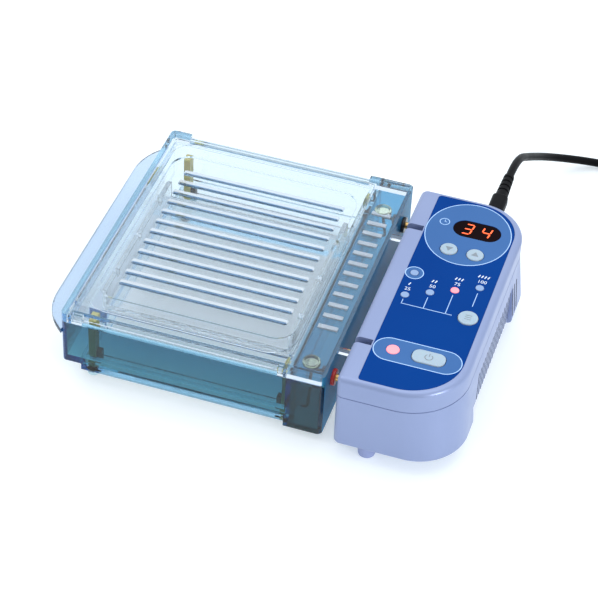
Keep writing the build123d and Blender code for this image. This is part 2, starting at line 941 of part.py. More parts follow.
def light(x, y, radius):
    """A domed indicator that stands on the control board."""
    dome = 0.4
    stem = rod(unit_left + x, y, control_board_top, radius, unit_top + dome - control_board_top)
    return fillet(stem.edges().group_by(Axis.Z)[-1], dome)


def voltage_lights():
    """The four voltage lights."""
    return joined([light(x, y, light_radius) for x, y in light_places()])


def control_board():
    """The board under the panel, with its left edge clear of the notches."""
    left, right = unit_left + control_board_left, unit_right - unit_wall - control_board_gap
    front, back = control_board_front, control_board_back
    z0 = control_board_top - board_thickness
    plan = Pos((left + right) / 2, (front + back) / 2) * Rectangle(right - left, back - front)
    board = slab(plan & unit_plan(unit_wall + control_board_gap), z0, control_board_top)
    board -= rod(entry_place_x, back - 6, entry_z, grip_width, 12.0, "Y")
    for x, y in boss_places:
        board -= rod(unit_left + x, y, z0 - 1, boss_radius + 0.3, board_thickness + 2)
    return board


def push_switches():
    """The four switches under the buttons."""
    places = (
        (time_down_x, time_row_y),
        (time_up_x, time_row_y),
        (select_x, select_y),
        (run_x, run_y),
    )
    half = switch_size / 2
    switches = []
    for x, y in places:
        middle = unit_left + x
        switches.append(
            block(
                middle - half,
                middle + half,
                y - half,
                y + half,
                control_board_top,
                control_board_top + switch_height - 0.6,
            )
            + rod(middle, y, control_board_top, 1.7, switch_height)
        )
    return joined(switches)


def reed_switches():
    """Two lid sensors under the control board, beside the notches."""
    x = unit_left + control_board_left + reed_radius
    z = control_board_top - board_thickness - reed_radius
    return joined([rod(x, y - reed_length / 2, z, reed_radius, reed_length, "Y") for y in notch_rows])


def power_board():
    """The board on the four posts of the lower case."""
    width, depth = power_board_size
    x0 = unit_left + power_board_left
    board = block(
        x0, x0 + width, power_board_front, power_board_front + depth, power_board_z, power_board_top()
    )
    return fillet(board.edges().filter_by(Axis.Z), 2.0)


def power_board_top():
    """Height of the power board's upper face."""
    return power_board_z + board_thickness


def transformer_core():
    """The transformer's iron core, with windows for the winding."""
    width, depth, height = core_size
    x0, y0 = unit_left + core_place[0], core_place[1]
    z0 = power_board_top()
    core = block(x0, x0 + width, y0, y0 + depth, z0, z0 + height)
    leg = winding_leg(0.0)
    band = core_band
    window = block(x0 + band, x0 + width - band, y0 - 1, y0 + depth + 1, z0 + band, z0 + height - band)
    return core - (window - leg)


def winding_leg(gap):
    """The core's middle leg, grown by a gap."""
    width, depth, height = core_size
    x0, y0 = unit_left + core_place[0] + width / 2, core_place[1]
    z0 = power_board_top()
    half = core_band + gap
    low, high = z0 + core_band - 1, z0 + height - core_band + 1
    return block(x0 - half, x0 + half, y0 - gap, y0 + depth + gap, low, high)


def transformer_winding():
    """The winding round the core's middle leg."""
    width, depth, height = core_size
    x0, y0 = unit_left + core_place[0] + width / 2, core_place[1]
    z0 = power_board_top()
    edge = core_band + winding_gap
    coil = block(
        x0 - width / 2 + edge,
        x0 + width / 2 - edge,
        y0 - winding_margin,
        y0 + depth + winding_margin,
        z0 + edge,
        z0 + height - edge,
    )
    coil = fillet(coil.edges().filter_by(Axis.Z), 3.0)
    return coil - winding_leg(winding_core_gap)


def smoothing_capacitors():
    """Two round capacitors side by side on the power board."""
    cans = []
    for i in range(2):
        x = unit_left + capacitor_place[0] + capacitor_pitch * i
        can = rod(x, capacitor_place[1], power_board_top(), capacitor_radius, capacitor_height)
        cans.append(fillet(can.edges().group_by(Axis.Z)[-1], 1.0))
    return joined(cans)


def heat_sink():
    """The finned heat sink on the power board."""
    width, depth, height = sink_size
    x0, y0 = unit_left + sink_place[0], sink_place[1]
    z0 = power_board_top()
    sink = block(x0, x0 + width, y0, y0 + 3, z0, z0 + height)
    pitch = (width - sink_fin) / (sink_fins - 1)
    for i in range(sink_fins):
        x = x0 + pitch * i
        sink += block(x, x + sink_fin, y0, y0 + depth, z0, z0 + height)
    return sink


def unit_feet():
    """Four tapered feet under the unit."""
    feet = []
    for x, y in unit_foot_places:
        low = (Align.CENTER, Align.CENTER, Align.MIN)
        foot = Pos(unit_left + x, y, 0) * Cone(
            unit_foot_radius - unit_foot_taper, unit_foot_radius, unit_bottom, align=low
        )
        feet.append(fillet(foot.edges().group_by(Axis.Z)[0], foot_edge))
    return joined(feet)


def case_screws():
    """Four screws from below that hold the two shells together."""
    screws = []
    head_z = unit_bottom + 0.6
    for x, y in boss_places:
        head = rod(unit_left + x, y, head_z, screw_head_radius, screw_head_height)
        shank_top = unit_seam + 6.0
        shank = rod(unit_left + x, y, head_z, screw_radius, shank_top - head_z)
        screws.append(head + shank)
    return joined(screws)


def slab_y(plan, y0, y1):
    """An outline at the lead's entry, raised along Y."""
    plane = Plane(origin=(entry_place_x, y1, entry_z), x_dir=(1, 0, 0), z_dir=(0, -1, 0))
    return extrude(plane * plan, y1 - y0)


def cord_relief():
    """The moulded strain relief: inner flange, neck in the wall, grip and tapered sleeve."""
    margin = 2 * entry_flange_margin
    wall_side = unit_back - entry_flange_inset
    flange = entry_block(
        entry_neck_width + margin,
        entry_neck_height + margin,
        wall_side - entry_flange_thickness,
        wall_side,
    )
    neck = entry_block(entry_neck_width, entry_neck_height, wall_side - 0.5, unit_back + 1)
    start = unit_back + entry_gap
    section = RectangleRounded(grip_width, grip_height, grip_height * 0.3)
    grip = slab_y(section, start, unit_back + grip_length)
    grip = fillet(grip.faces().sort_by(Axis.Y)[-1].edges(), 0.8)
    return flange + neck + grip + strain_relief(unit_back + grip_length)


def strain_relief(start):
    """A tapered sleeve with grooves round it, from the connector's grip to the lead."""
    plane = Plane(origin=(entry_place_x, start, entry_z), x_dir=(1, 0, 0), z_dir=(0, 1, 0))
    far = plane.offset(relief_length)
    relief = loft([plane * Circle(relief_start / 2), far * Circle(relief_end / 2)])
    for i in range(4):
        at = 5.0 + 4.4 * i
        radius = (relief_start + (relief_end - relief_start) * at / relief_length) / 2
        ring = rod(entry_place_x, start + at, entry_z, radius + 1, 1.4, "Y")
        relief -= ring - rod(entry_place_x, start + at - 1, entry_z, radius - 0.6, 4.0, "Y")
    return relief


def route_radii(points):
    """Radius at each inner point: 0.45 of the shorter run over the tangent of half the turn."""
    radii = []
    for a, b, c in zip(points, points[1:], points[2:]):
        first, second = Vector(b) - Vector(a), Vector(c) - Vector(b)
        half_turn = math.radians(first.get_angle(second)) / 2
        radii.append(0.45 * min(first.length, second.length) / math.tan(half_turn))
    return radii


def cord_tube(name, points):
    """A free stretch of the lead: straight runs joined by tangent arcs."""
    radii = route_radii(points)
    path = FilletPolyline(*points, radius=radii)
    heading = Vector(points[1]) - Vector(points[0])
    section = Plane(origin=points[0], z_dir=heading) * Circle(cord_radius)
    tube = sweep(section, path=path)
    ratio = tube.volume / (math.pi * cord_radius**2 * path.length)
    print(name, "radii", [round(r) for r in radii])
    print(name, "length", round(path.length, 1), "volume ratio", round(ratio, 4))
    return tube, path.length


def coil_stops():
    """Radius and height of the coil at the end of each half turn, layer by layer."""
    step = coil_turn_pitch / 2
    radius = coil_outer
    stops = [(radius, cord_radius)]
    for layer in range(coil_layers):
        inward = layer % 2 == 0
        last = layer == coil_layers - 1
        for _ in range(coil_half_turns - (1 if last else 0)):
            radius += -step if inward else step
            stops.append((radius, cord_radius + coil_layer_pitch * layer))
        if not last:
            stops.append((radius, cord_radius + coil_layer_pitch * (layer + 1)))
    return stops


def coil_point(index, stop):
    """The place of a stop: even ones behind the coil's middle, odd ones in front."""
    side = 1 if index % 2 == 0 else -1
    return Vector(coil_x, coil_y + side * stop[0], stop[1])


def coil_arcs():
    """Each half turn as two quarter arcs, tangent to each other and to their neighbours."""
    stops = coil_stops()
    arcs = []
    for i in range(len(stops) - 1):
        start, end = coil_point(i, stops[i]), coil_point(i + 1, stops[i + 1])
        radius = (end - start).length / 2
        side = Vector(1 if i % 2 == 0 else -1, 0, 0)
        middle = (start + end) * 0.5
        crest = middle + side * radius
        for a, b in ((start - middle, crest - middle), (crest - middle, end - middle)):
            arcs.append((middle, radius, a, b))
    return arcs


def arc_point(arc, share):
    """A point part of the way along a quarter arc."""
    middle, _, a, b = arc
    angle = share * math.pi / 2
    return middle + a * math.cos(angle) + b * math.sin(angle)


def coil_gap(arcs):
    """Least distance between the coil's own turns, measured on points along it."""
    points = []
    steps = 16
    for arc in arcs:
        points += [arc_point(arc, k / steps) for k in range(steps)]
    spacing = arcs[0][1] * math.pi / 2 / steps
    apart = int(6 * cord_diameter / spacing)
    least = min(
        (points[i] - points[j]).length for i in range(len(points)) for j in range(i + apart, len(points))
    )
    return least - cord_diameter


def cord_coil():
    """The put-away lead: one unbroken tube that winds in and out in four layers."""
    arcs = coil_arcs()
    edges = [ThreePointArc(arc_point(arc, 0), arc_point(arc, 0.5), arc_point(arc, 1)) for arc in arcs]
    start = arc_point(arcs[0], 0)
    end = arc_point(arcs[-1], 1)
    lead_in = Vector(cord_diameter, 0, 0)
    edges = [Line(start - lead_in, start)] + edges + [Line(end, end + lead_in)]
    path = Wire([edge.edge() for edge in edges])
    section = Plane(origin=start - lead_in, z_dir=(1, 0, 0)) * Circle(cord_radius)
    coil = sweep(section, path=path)
    ratio = coil.volume / (math.pi * cord_radius**2 * path.length)
    print("coil gap", round(coil_gap(arcs), 2))
    print("coil length", round(path.length, 1), "volume ratio", round(ratio, 4))
    return coil, path.length


def mains_plug():
    """The lead's plug: a tapered body with its own strain relief, lying on the bench."""
    x, y, z = plug_entry
    body_back = y - plug_relief_length
    face = Plane(origin=(x, body_back, z), x_dir=(1, 0, 0), z_dir=(0, -1, 0))
    wide = face.offset(plug_length * 0.6)
    front = face.offset(plug_length)
    neck = RectangleRounded(plug_width * 0.55, plug_height * 0.75, 4.0)
    full = RectangleRounded(plug_width, plug_height, 4.0)
    body = loft([face * neck, wide * full]) + extrude(wide * full, plug_length * 0.4)
    body = fillet(body.faces().sort_by(Axis.Y)[0].edges(), 1.0)
    entry = Plane(origin=(x, y, z), x_dir=(1, 0, 0), z_dir=(0, -1, 0))
    base = entry.offset(plug_relief_length)
    relief = loft([entry * Circle(relief_end / 2), base * Circle(relief_start / 2 + 0.6)])
    body += relief
    for sx in (-1, 1):
        slot = front * (Pos(sx * blade_spacing / 2, 0) * Rectangle(blade_width, blade_height))
        body -= extrude(slot, -4.0)
    return body


def plug_blades():
    """The plug's two flat blades."""
    x, y, z = plug_entry
    start = y - plug_relief_length - plug_length + 4.0
    blades = []
    for sx in (-1, 1):
        middle = x + sx * blade_spacing / 2
        blades.append(
            block(
                middle - blade_width / 2,
                middle + blade_width / 2,
                start - 4.0 - blade_length,
                start,
                z - blade_height / 2,
                z + blade_height / 2,
            )
        )
    return joined(blades)


def routes_with_ends(points, start_run, end_run):
    """A route whose first and last points are moved in, to meet straight ends face to face."""
    first, last = Vector(points[0]), Vector(points[-1])
    return (tuple(first + Vector(start_run)), *points[1:-1], tuple(last + Vector(end_run)))


def write(name, shape):
    """Moves a piece to the shared origin and writes it."""
    export_step(Pos(-centre_x, -centre_y, 0) * shape, "parts/" + name + ".step")


def main():
    os.makedirs("parts", exist_ok=True)
    write("lower_case", lower_case())
    write("upper_case", upper_case())
    write("panel_overlay", panel_overlay())
    write("display_window", display_window())
    write("display_module", display_module())
    write("voltage_lights", voltage_lights())
    write("option_light", light(light_first_x, option_light_y, light_radius))
    write("run_light", light(run_light_x, run_y, run_light_radius))
    for name in button_plans(0.0):
        write(name, button(name))
    write("control_board", control_board())
    write("push_switches", push_switches())
    write("reed_switches", reed_switches())
    write("power_board", power_board())
    write("transformer_core", transformer_core())
    write("transformer_winding", transformer_winding())
    write("smoothing_capacitors", smoothing_capacitors())
    write("heat_sink", heat_sink())
    write("anode_socket", terminal_socket(0))
    write("cathode_socket", terminal_socket(1))
    write("socket_sleeves", socket_sleeves())
    write("unit_feet", unit_feet())
    write("case_screws", case_screws())
    write("tank_shell", tank_shell())
    write("shelf_plugs", shelf_plugs())
    write("compartment_cover", compartment_cover())
    write("tank_feet", tank_feet())
    write("electrode_holders", electrode_holders())
    write("electrode_clips", electrode_clips())
    write("anode_wire", electrode_wire(0))
    write("cathode_wire", electrode_wire(1))
    write("anode_lead", terminal_lead(0))
    write("cathode_lead", terminal_lead(1))
    write("anode_collar", terminal_collar(0))
    write("cathode_collar", terminal_collar(1))
    write("anode_pin", terminal_pin(0))
    write("cathode_pin", terminal_pin(1))
    write("lid", lid())
    write("lid_magnets", lid_magnets())
    write("gel_tray", gel_tray())
    write("cord_relief", cord_relief())
    lead_route = routes_with_ends(lead_points, (0, 0, 0), (-cord_diameter, 0, 0))
    tail_route = routes_with_ends(tail_points, (cord_diameter, 0, 0), (0, 0, 0))
    lead, lead_length = cord_tube("cord_lead", lead_route)
    write("cord_lead", lead)
    coil, coil_length = cord_coil()
    write("cord_coil", coil)
    tail, tail_length = cord_tube("cord_tail", tail_route)
    write("cord_tail", tail)
    write("mains_plug", mains_plug())
    write("plug_blades", plug_blades())
    print("lead in all", round(lead_length + coil_length + tail_length))


main()
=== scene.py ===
import math

import bmesh
import bpy
from mathutils import Matrix, Vector


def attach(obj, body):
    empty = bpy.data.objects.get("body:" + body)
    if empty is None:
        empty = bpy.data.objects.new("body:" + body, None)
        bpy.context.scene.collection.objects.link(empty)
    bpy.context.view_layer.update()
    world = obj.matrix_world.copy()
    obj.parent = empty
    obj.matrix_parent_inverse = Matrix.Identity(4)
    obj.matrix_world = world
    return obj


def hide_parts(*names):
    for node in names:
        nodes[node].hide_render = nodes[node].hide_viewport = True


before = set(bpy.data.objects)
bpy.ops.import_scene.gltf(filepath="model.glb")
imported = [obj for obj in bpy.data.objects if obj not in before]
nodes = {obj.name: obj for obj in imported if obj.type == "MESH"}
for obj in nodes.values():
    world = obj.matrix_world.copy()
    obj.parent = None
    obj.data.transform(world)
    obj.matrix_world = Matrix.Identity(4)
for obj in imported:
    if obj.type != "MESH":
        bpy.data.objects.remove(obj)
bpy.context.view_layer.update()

# The part's own drawing origin, seen from the shared frame, in millimetres
drawing = {"x": 105.9, "y": 84.7}


def at(x, y, z):
    return Vector(((x - drawing["x"]) / 1000, (y - drawing["y"]) / 1000, z / 1000))


def newObject(name, data):
    obj = bpy.data.objects.new(name, data)
    bpy.context.scene.collection.objects.link(obj)
    return obj


# Camera: long lens, from the front right and above, rolled a little
cameraSettings = {
    "place": (371.8, -824.3, 858.8),
    "azimuth": 15.987,
    "elevation": 41.531,
    "roll": 0.0524,
    "lens": 132.86,
    "sensor": 36.0,
    "farClip": 50.0,
}


def makeCamera(s):
    azimuth, elevation = math.radians(s["azimuth"]), math.radians(s["elevation"])
    back = Vector(
        (
            math.sin(azimuth) * math.cos(elevation),
            -math.cos(azimuth) * math.cos(elevation),
            math.sin(elevation),
        )
    )
    right = (-back).cross(Vector((0, 0, 1))).normalized()
    up = back.cross(right)
    cosRoll, sinRoll = math.cos(s["roll"]), math.sin(s["roll"])
    axes = (right * cosRoll + up * sinRoll, up * cosRoll - right * sinRoll, back)
    data = bpy.data.cameras.new("camera")
    data.lens = s["lens"]
    data.sensor_width = s["sensor"]
    data.clip_end = s["farClip"]
    camera = newObject("camera", data)
    camera.matrix_world = Matrix.Translation(at(*s["place"])) @ Matrix(axes).transposed().to_4x4()
    bpy.context.scene.camera = camera


makeCamera(cameraSettings)
print("stage: camera")


# Materials: two colours in broad soft patches, marks in the gloss, fine grain in the bump
grainDefaults = {
    "broadScale": 18.0, "fineScale": 900.0, "fineDetail": 4.0, "markScale": 60.0, "markDetail": 6.0,
    "markBend": 0.6, "bump": 0.15, "depth": 0.0001, "sockets": {},
}


def newMaterial(name):
    material = bpy.data.materials.new(name)
    material.use_nodes = True
    tree = material.node_tree
    shader = tree.nodes["Principled BSDF"]
    return material, tree, shader


def noise(tree, coordinates, scale, detail=3.0, distortion=0.0):
    node = tree.nodes.new("ShaderNodeTexNoise")
    node.inputs["Scale"].default_value = scale
    node.inputs["Detail"].default_value = detail
    node.inputs["Distortion"].default_value = distortion
    tree.links.new(coordinates, node.inputs["Vector"])
    return node.outputs["Fac"]


def spread(tree, value, low, high, start=0.3, end=0.7):
    node = tree.nodes.new("ShaderNodeMapRange")
    node.inputs["From Min"].default_value = start
    node.inputs["From Max"].default_value = end
    node.inputs["To Min"].default_value = low
    node.inputs["To Max"].default_value = high
    tree.links.new(value, node.inputs["Value"])
    return node.outputs["Result"]


def blendColours(tree, value, first, second):
    node = tree.nodes.new("ShaderNodeMix")
    node.data_type = "RGBA"
    node.inputs["A"].default_value = (*first, 1)
    node.inputs["B"].default_value = (*second, 1)
    tree.links.new(value, node.inputs["Factor"])
    return node.outputs["Result"]


def surface(name, settings):
    s = {**grainDefaults, **settings}
    material, tree, shader = newMaterial(name)
    coordinates = tree.nodes.new("ShaderNodeTexCoord").outputs["Object"]
    broad = noise(tree, coordinates, s["broadScale"])
    fine = noise(tree, coordinates, s["fineScale"], s["fineDetail"])
    share = spread(tree, broad, 0.0, 1.0)
    tree.links.new(blendColours(tree, share, s["colour"], s["second"]), shader.inputs["Base Color"])
    marks = noise(tree, coordinates, s["markScale"], s["markDetail"], s["markBend"])
    roughness = spread(tree, marks, *s["rough"])
    tree.links.new(roughness, shader.inputs["Roughness"])
    bump = tree.nodes.new("ShaderNodeBump")
    bump.inputs["Strength"].default_value = s["bump"]
    bump.inputs["Distance"].default_value = s["depth"]
    tree.links.new(fine, bump.inputs["Height"])
    tree.links.new(bump.outputs["Normal"], shader.inputs["Normal"])
    for socket, value in s["sockets"].items():
        shader.inputs[socket].default_value = value
    return material


# Clear plastic: the colour tints what comes through a face, the density what comes through the depth
clearIndex = 1.49


def clearPlastic(name, s):
    material = surface(name, s)
    tree = material.node_tree
    shader = tree.nodes["Principled BSDF"]
    shader.inputs["Transmission Weight"].default_value = s.get("clear", 1.0)
    shader.inputs["IOR"].default_value = clearIndex
    absorption = tree.nodes.new("ShaderNodeVolumeAbsorption")
    absorption.inputs["Color"].default_value = (*s["tint"], 1)
    absorption.inputs["Density"].default_value = s["density"]
    tree.links.new(absorption.outputs["Volume"], tree.nodes["Material Output"].inputs["Volume"])
    return material


filmGrain = {"fineScale": 1800.0, "bump": 0.06}
plasticSettings = {
    "casePlastic": {
        "colour": (0.255, 0.315, 0.52), "second": (0.275, 0.335, 0.54), "rough": (0.30, 0.40),
        "fineScale": 1400.0, "bump": 0.10, "sockets": {"Specular IOR Level": 0.5, "Metallic": 0.35},
    },
    # painted shade for the side faces of the vent slots
    "slotPaintedShade": {
        "colour": (0.012, 0.018, 0.040), "second": (0.018, 0.025, 0.050), "rough": (0.5, 0.6),
        "fineScale": 1400.0, "bump": 0.10, "sockets": {"Specular IOR Level": 0.2},
    },
    "panelFilm": {
        "colour": (0.001, 0.042, 0.235), "second": (0.001, 0.048, 0.255), "rough": (0.45, 0.55),
        **filmGrain, "sockets": {"Specular IOR Level": 0.03},
    },
    "zoneFilm": {
        "colour": (0.050, 0.140, 0.36), "second": (0.056, 0.155, 0.39), "rough": (0.45, 0.55),
        **filmGrain, "sockets": {"Specular IOR Level": 0.08},
    },
    "lineInk": {
        "colour": (0.40, 0.62, 0.95), "second": (0.46, 0.68, 0.98), "rough": (0.3, 0.4),
        **filmGrain,
    },
    "paleInk": {
        "colour": (0.74, 0.84, 0.98), "second": (0.80, 0.88, 1.0), "rough": (0.3, 0.4),
        **filmGrain,
    },
    "buttonRubber": {
        "colour": (0.36, 0.46, 0.55), "second": (0.41, 0.51, 0.60), "rough": (0.5, 0.62),
        "fineScale": 1500.0, "bump": 0.12, "sockets": {"Subsurface Weight": 0.08, "Coat Weight": 0.15},
    },
    "markGrey": {
        "colour": (0.20, 0.24, 0.28), "second": (0.26, 0.30, 0.34), "rough": (0.5, 0.6),
        "fineScale": 1500.0, "bump": 0.1,
    },
    "windowDark": {
        "colour": (0.006, 0.002, 0.003), "second": (0.010, 0.003, 0.004), "rough": (0.25, 0.35),
        "fineScale": 1200.0, "bump": 0.03, "sockets": {"Specular IOR Level": 0.02},
    },
    "lampClear": {
        "colour": (0.22, 0.34, 0.58), "second": (0.27, 0.40, 0.64), "rough": (0.2, 0.3),
        "bump": 0.05, "sockets": {"Coat Weight": 0.5},
    },
    "footRubber": {
        "colour": (0.26, 0.31, 0.55), "second": (0.30, 0.35, 0.60), "rough": (0.5, 0.65),
        "fineScale": 1100.0, "bump": 0.2,
    },
    "holderYellow": {
        "colour": (0.84, 0.72, 0.20), "second": (0.88, 0.77, 0.28), "rough": (0.35, 0.5),
        "fineScale": 1200.0, "bump": 0.12, "sockets": {"Subsurface Weight": 0.1},
    },
    "clipBlack": {
        "colour": (0.012, 0.010, 0.010), "second": (0.020, 0.017, 0.016), "rough": (0.35, 0.5),
        "fineScale": 1200.0, "bump": 0.15,
    },
    "terminalRed": {
        "colour": (0.62, 0.012, 0.008), "second": (0.70, 0.03, 0.015), "rough": (0.22, 0.34),
        "fineScale": 1200.0, "bump": 0.08, "sockets": {"Coat Weight": 0.3},
    },
    "terminalBlack": {
        "colour": (0.010, 0.010, 0.012), "second": (0.018, 0.018, 0.02), "rough": (0.25, 0.38),
        "fineScale": 1200.0, "bump": 0.08, "sockets": {"Coat Weight": 0.3},
    },
    "cordRubber": {
        "colour": (0.004, 0.004, 0.005), "second": (0.008, 0.008, 0.009), "rough": (0.38, 0.52),
        "fineScale": 1600.0, "bump": 0.25, "sockets": {"Specular IOR Level": 0.08},
    },
    "boardGreen": {
        "colour": (0.012, 0.09, 0.035), "second": (0.02, 0.12, 0.05), "rough": (0.3, 0.45),
        "fineScale": 700.0, "bump": 0.2,
    },
    "coatedCopper": {
        "colour": (0.42, 0.13, 0.04), "second": (0.50, 0.18, 0.06), "rough": (0.25, 0.4),
        "fineScale": 2600.0, "bump": 0.4, "sockets": {"Metallic": 0.6},
    },
    "canSleeve": {
        "colour": (0.02, 0.03, 0.09), "second": (0.03, 0.04, 0.11), "rough": (0.25, 0.35),
        "bump": 0.1,
    },
}

metalSettings = {
    "platedBrass": {
        "colour": (0.78, 0.52, 0.20), "second": (0.70, 0.44, 0.16), "rough": (0.16, 0.30),
        "fineScale": 2400.0, "bump": 0.1, "sockets": {"Metallic": 1.0},
    },
    "brightSteel": {
        "colour": (0.58, 0.59, 0.61), "second": (0.50, 0.51, 0.54), "rough": (0.2, 0.36),
        "fineScale": 2400.0, "bump": 0.12, "sockets": {"Metallic": 1.0},
    },
    "coreSteel": {
        "colour": (0.16, 0.16, 0.18), "second": (0.22, 0.22, 0.24), "rough": (0.4, 0.55),
        "fineScale": 3000.0, "bump": 0.5, "sockets": {"Metallic": 0.8},
    },
    "sinkAluminium": {
        "colour": (0.55, 0.56, 0.58), "second": (0.62, 0.63, 0.65), "rough": (0.3, 0.42),
        "fineScale": 2400.0, "bump": 0.15, "sockets": {"Metallic": 1.0},
    },
}

glowSettings = {
    "lampRed": {
        "colour": (0.86, 0.20, 0.26), "second": (0.92, 0.30, 0.34), "rough": (0.2, 0.3), "bump": 0.05,
        "sockets": {"Emission Color": (1.0, 0.30, 0.36, 1), "Emission Strength": 0.55},
    },
    "digitRed": {
        "colour": (0.80, 0.08, 0.02), "second": (0.90, 0.12, 0.03), "rough": (0.3, 0.4), "bump": 0.03,
        "sockets": {"Emission Color": (1.0, 0.12, 0.02, 1), "Emission Strength": 1.1},
    },
}

mouldedGrain = {"fineScale": 60.0, "bump": 0.05, "depth": 0.0004}
tankBody = {**mouldedGrain, "tint": (0.24, 0.66, 0.84), "density": 38.0}
lidBody = {"tint": (0.50, 0.74, 0.90), "density": 20.0}
clearSettings = {
    "wallAcrylic": {
        "colour": (0.97, 0.99, 1.0), "second": (0.94, 0.98, 0.99), "rough": (0.02, 0.06),
        **tankBody,
    },
    # painted shade: a dark teal copy of the tank acrylic on the front wall's outer faces, for the shaded
    # inside seen through them
    "frontShadeAcrylic": {
        "colour": (0.05, 0.31, 0.36), "second": (0.038, 0.275, 0.33), "rough": (0.02, 0.07),
        **tankBody,
    },
    # painted shade: a deep blue, less clear copy of the acrylic with no reflection, on the right walls
    # beside the power unit and the front-left corner edge
    "sideShadeAcrylic": {
        "colour": (0.07, 0.31, 0.52), "second": (0.055, 0.28, 0.48), "rough": (0.10, 0.18),
        **tankBody, "clear": 0.3, "sockets": {"Specular IOR Level": 0.0},
    },
    # painted shade: a near-black copy of the tank acrylic on the front faces of the right compartment
    "boxShadeAcrylic": {
        "colour": (0.045, 0.070, 0.085), "second": (0.038, 0.060, 0.075), "rough": (0.04, 0.10),
        **tankBody, "clear": 0.7,
    },
    "flangeAcrylic": {
        "colour": (0.66, 0.76, 0.90), "second": (0.62, 0.73, 0.88), "rough": (0.10, 0.20),
        **mouldedGrain, "tint": (0.25, 0.52, 0.72), "density": 60.0,
    },
    "platformAcrylic": {
        "colour": (0.97, 0.99, 1.0), "second": (0.95, 0.98, 1.0), "rough": (0.06, 0.14),
        **mouldedGrain, "tint": (0.25, 0.62, 0.86), "density": 5.0, "clear": 0.98,
    },
    # painted shade: a darker blue copy of the tank acrylic on the shelf under the lid
    "shelfShadeAcrylic": {
        "colour": (0.06, 0.38, 0.62), "second": (0.05, 0.34, 0.57), "rough": (0.04, 0.10),
        **tankBody,
    },
    # painted highlight: near-white, almost opaque tops on the shelf bars, for the light they catch
    "barHighlight": {
        "colour": (0.96, 0.98, 1.0), "second": (0.92, 0.96, 1.0), "rough": (0.2, 0.35),
        "bump": 0.1, "tint": (0.25, 0.62, 0.88), "density": 70.0, "clear": 0.05,
    },
    "lidAcrylic": {
        "colour": (0.91, 0.94, 0.975), "second": (0.89, 0.925, 0.965), "rough": (0.01, 0.05),
        **lidBody, "fineScale": 45.0, "bump": 0.06, "depth": 0.0005,
    },
    # painted highlight: a whiter, half clear copy of the lid acrylic on the rib tops
    "ribHighlight": {
        "colour": (0.95, 0.98, 1.0), "second": (0.92, 0.97, 1.0), "rough": (0.05, 0.12),
        **lidBody, "bump": 0.06, "clear": 0.5,
    },
    "ribShade": {
        "colour": (0.40, 0.56, 0.66), "second": (0.36, 0.52, 0.62), "rough": (0.03, 0.08),
        **lidBody, "bump": 0.06,
    },
    "trayAcrylic": {
        "colour": (0.99, 1.0, 1.0), "second": (0.97, 0.99, 1.0), "rough": (0.04, 0.10),
        "fineScale": 200.0, "bump": 0.06, "tint": (0.4, 0.7, 0.9), "density": 1.5, "clear": 0.985,
    },
    "plugClear": {
        "colour": (0.95, 0.96, 0.78), "second": (0.92, 0.94, 0.74), "rough": (0.05, 0.12),
        "fineScale": 300.0, "bump": 0.1, "tint": (0.8, 0.85, 0.4), "density": 60.0, "clear": 0.95,
    },
    "clearFoot": {
        "colour": (0.60, 0.76, 0.80), "second": (0.56, 0.73, 0.78), "rough": (0.2, 0.3),
        "fineScale": 200.0, "bump": 0.1, "clear": 0.85, "tint": (0.2, 0.6, 0.8), "density": 60.0,
    },
}

materials = {}
for group in (plasticSettings, metalSettings, glowSettings):
    for name, settings in group.items():
        materials[name] = surface(name, settings)
for name, settings in clearSettings.items():
    materials[name] = clearPlastic(name, settings)
print("stage: materials")


# Pieces
meshSettings = {"merge": 1e-6, "markMerge": 1e-7, "flatAngle": 1.5, "sharpAngle": 35, "bevelSteps": 2}
faceLimits = {"square": 0.9, "upright": 0.3}  # a normal's share along an axis


def finishPiece(obj, body, replaced=()):
    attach(obj, body)
    if replaced:
        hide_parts(*replaced)


def linkMesh(name, mesh, materialNames):
    for entry in materialNames:
        mesh.materials.append(materials[entry])
    return newObject(name, mesh)


# The object as a plain mesh, with its modifiers applied
def baked(obj):
    graph = bpy.context.evaluated_depsgraph_get()
    graph.update()
    mesh = bpy.data.meshes.new_from_object(obj.evaluated_get(graph))
    obj.modifiers.clear()
    obj.data = mesh
    return obj


# A merged and bevelled copy of a node; the chooser gives each face one of the materials
def refined(node, name, materialNames, bevel, chooser=None):
    s = meshSettings
    sharp = math.radians(s["sharpAngle"])
    work = bmesh.new()
    work.from_mesh(nodes[node].data)
    bmesh.ops.remove_doubles(work, verts=work.verts, dist=s["merge"])
    flat = math.radians(s["flatAngle"])
    bmesh.ops.dissolve_limit(work, angle_limit=flat, verts=work.verts, edges=work.edges)
    for face in work.faces:
        face.smooth = True
        face.material_index = 0
    mesh = bpy.data.meshes.new(name)
    work.to_mesh(mesh)
    work.free()
    # The loaded corner normals fit the loose triangles only
    if "custom_normal" in mesh.attributes:
        mesh.attributes.remove(mesh.attributes["custom_normal"])
    obj = linkMesh(name, mesh, materialNames)
    if bevel:
        modifier = obj.modifiers.new("edges", "BEVEL")
        modifier.width = bevel / 1000
        modifier.segments = s["bevelSteps"]
        modifier.limit_method = "ANGLE"
        modifier.angle_limit = sharp
        modifier.use_clamp_overlap = True
        modifier.harden_normals = True
        baked(obj)
    else:
        obj.data.set_sharp_from_angle(angle=sharp)
    if chooser:
        for polygon in obj.data.polygons:
            centre = polygon.center * 1000
            x, y = centre.x + drawing["x"], centre.y + drawing["y"]
            polygon.material_index = chooser(x, y, centre.z, polygon.normal)
    return obj


# A hidden node keeps its own mesh and takes one material
def dress(node, materialName):
    data = nodes[node].data
    data.materials.clear()
    data.materials.append(materials[materialName])


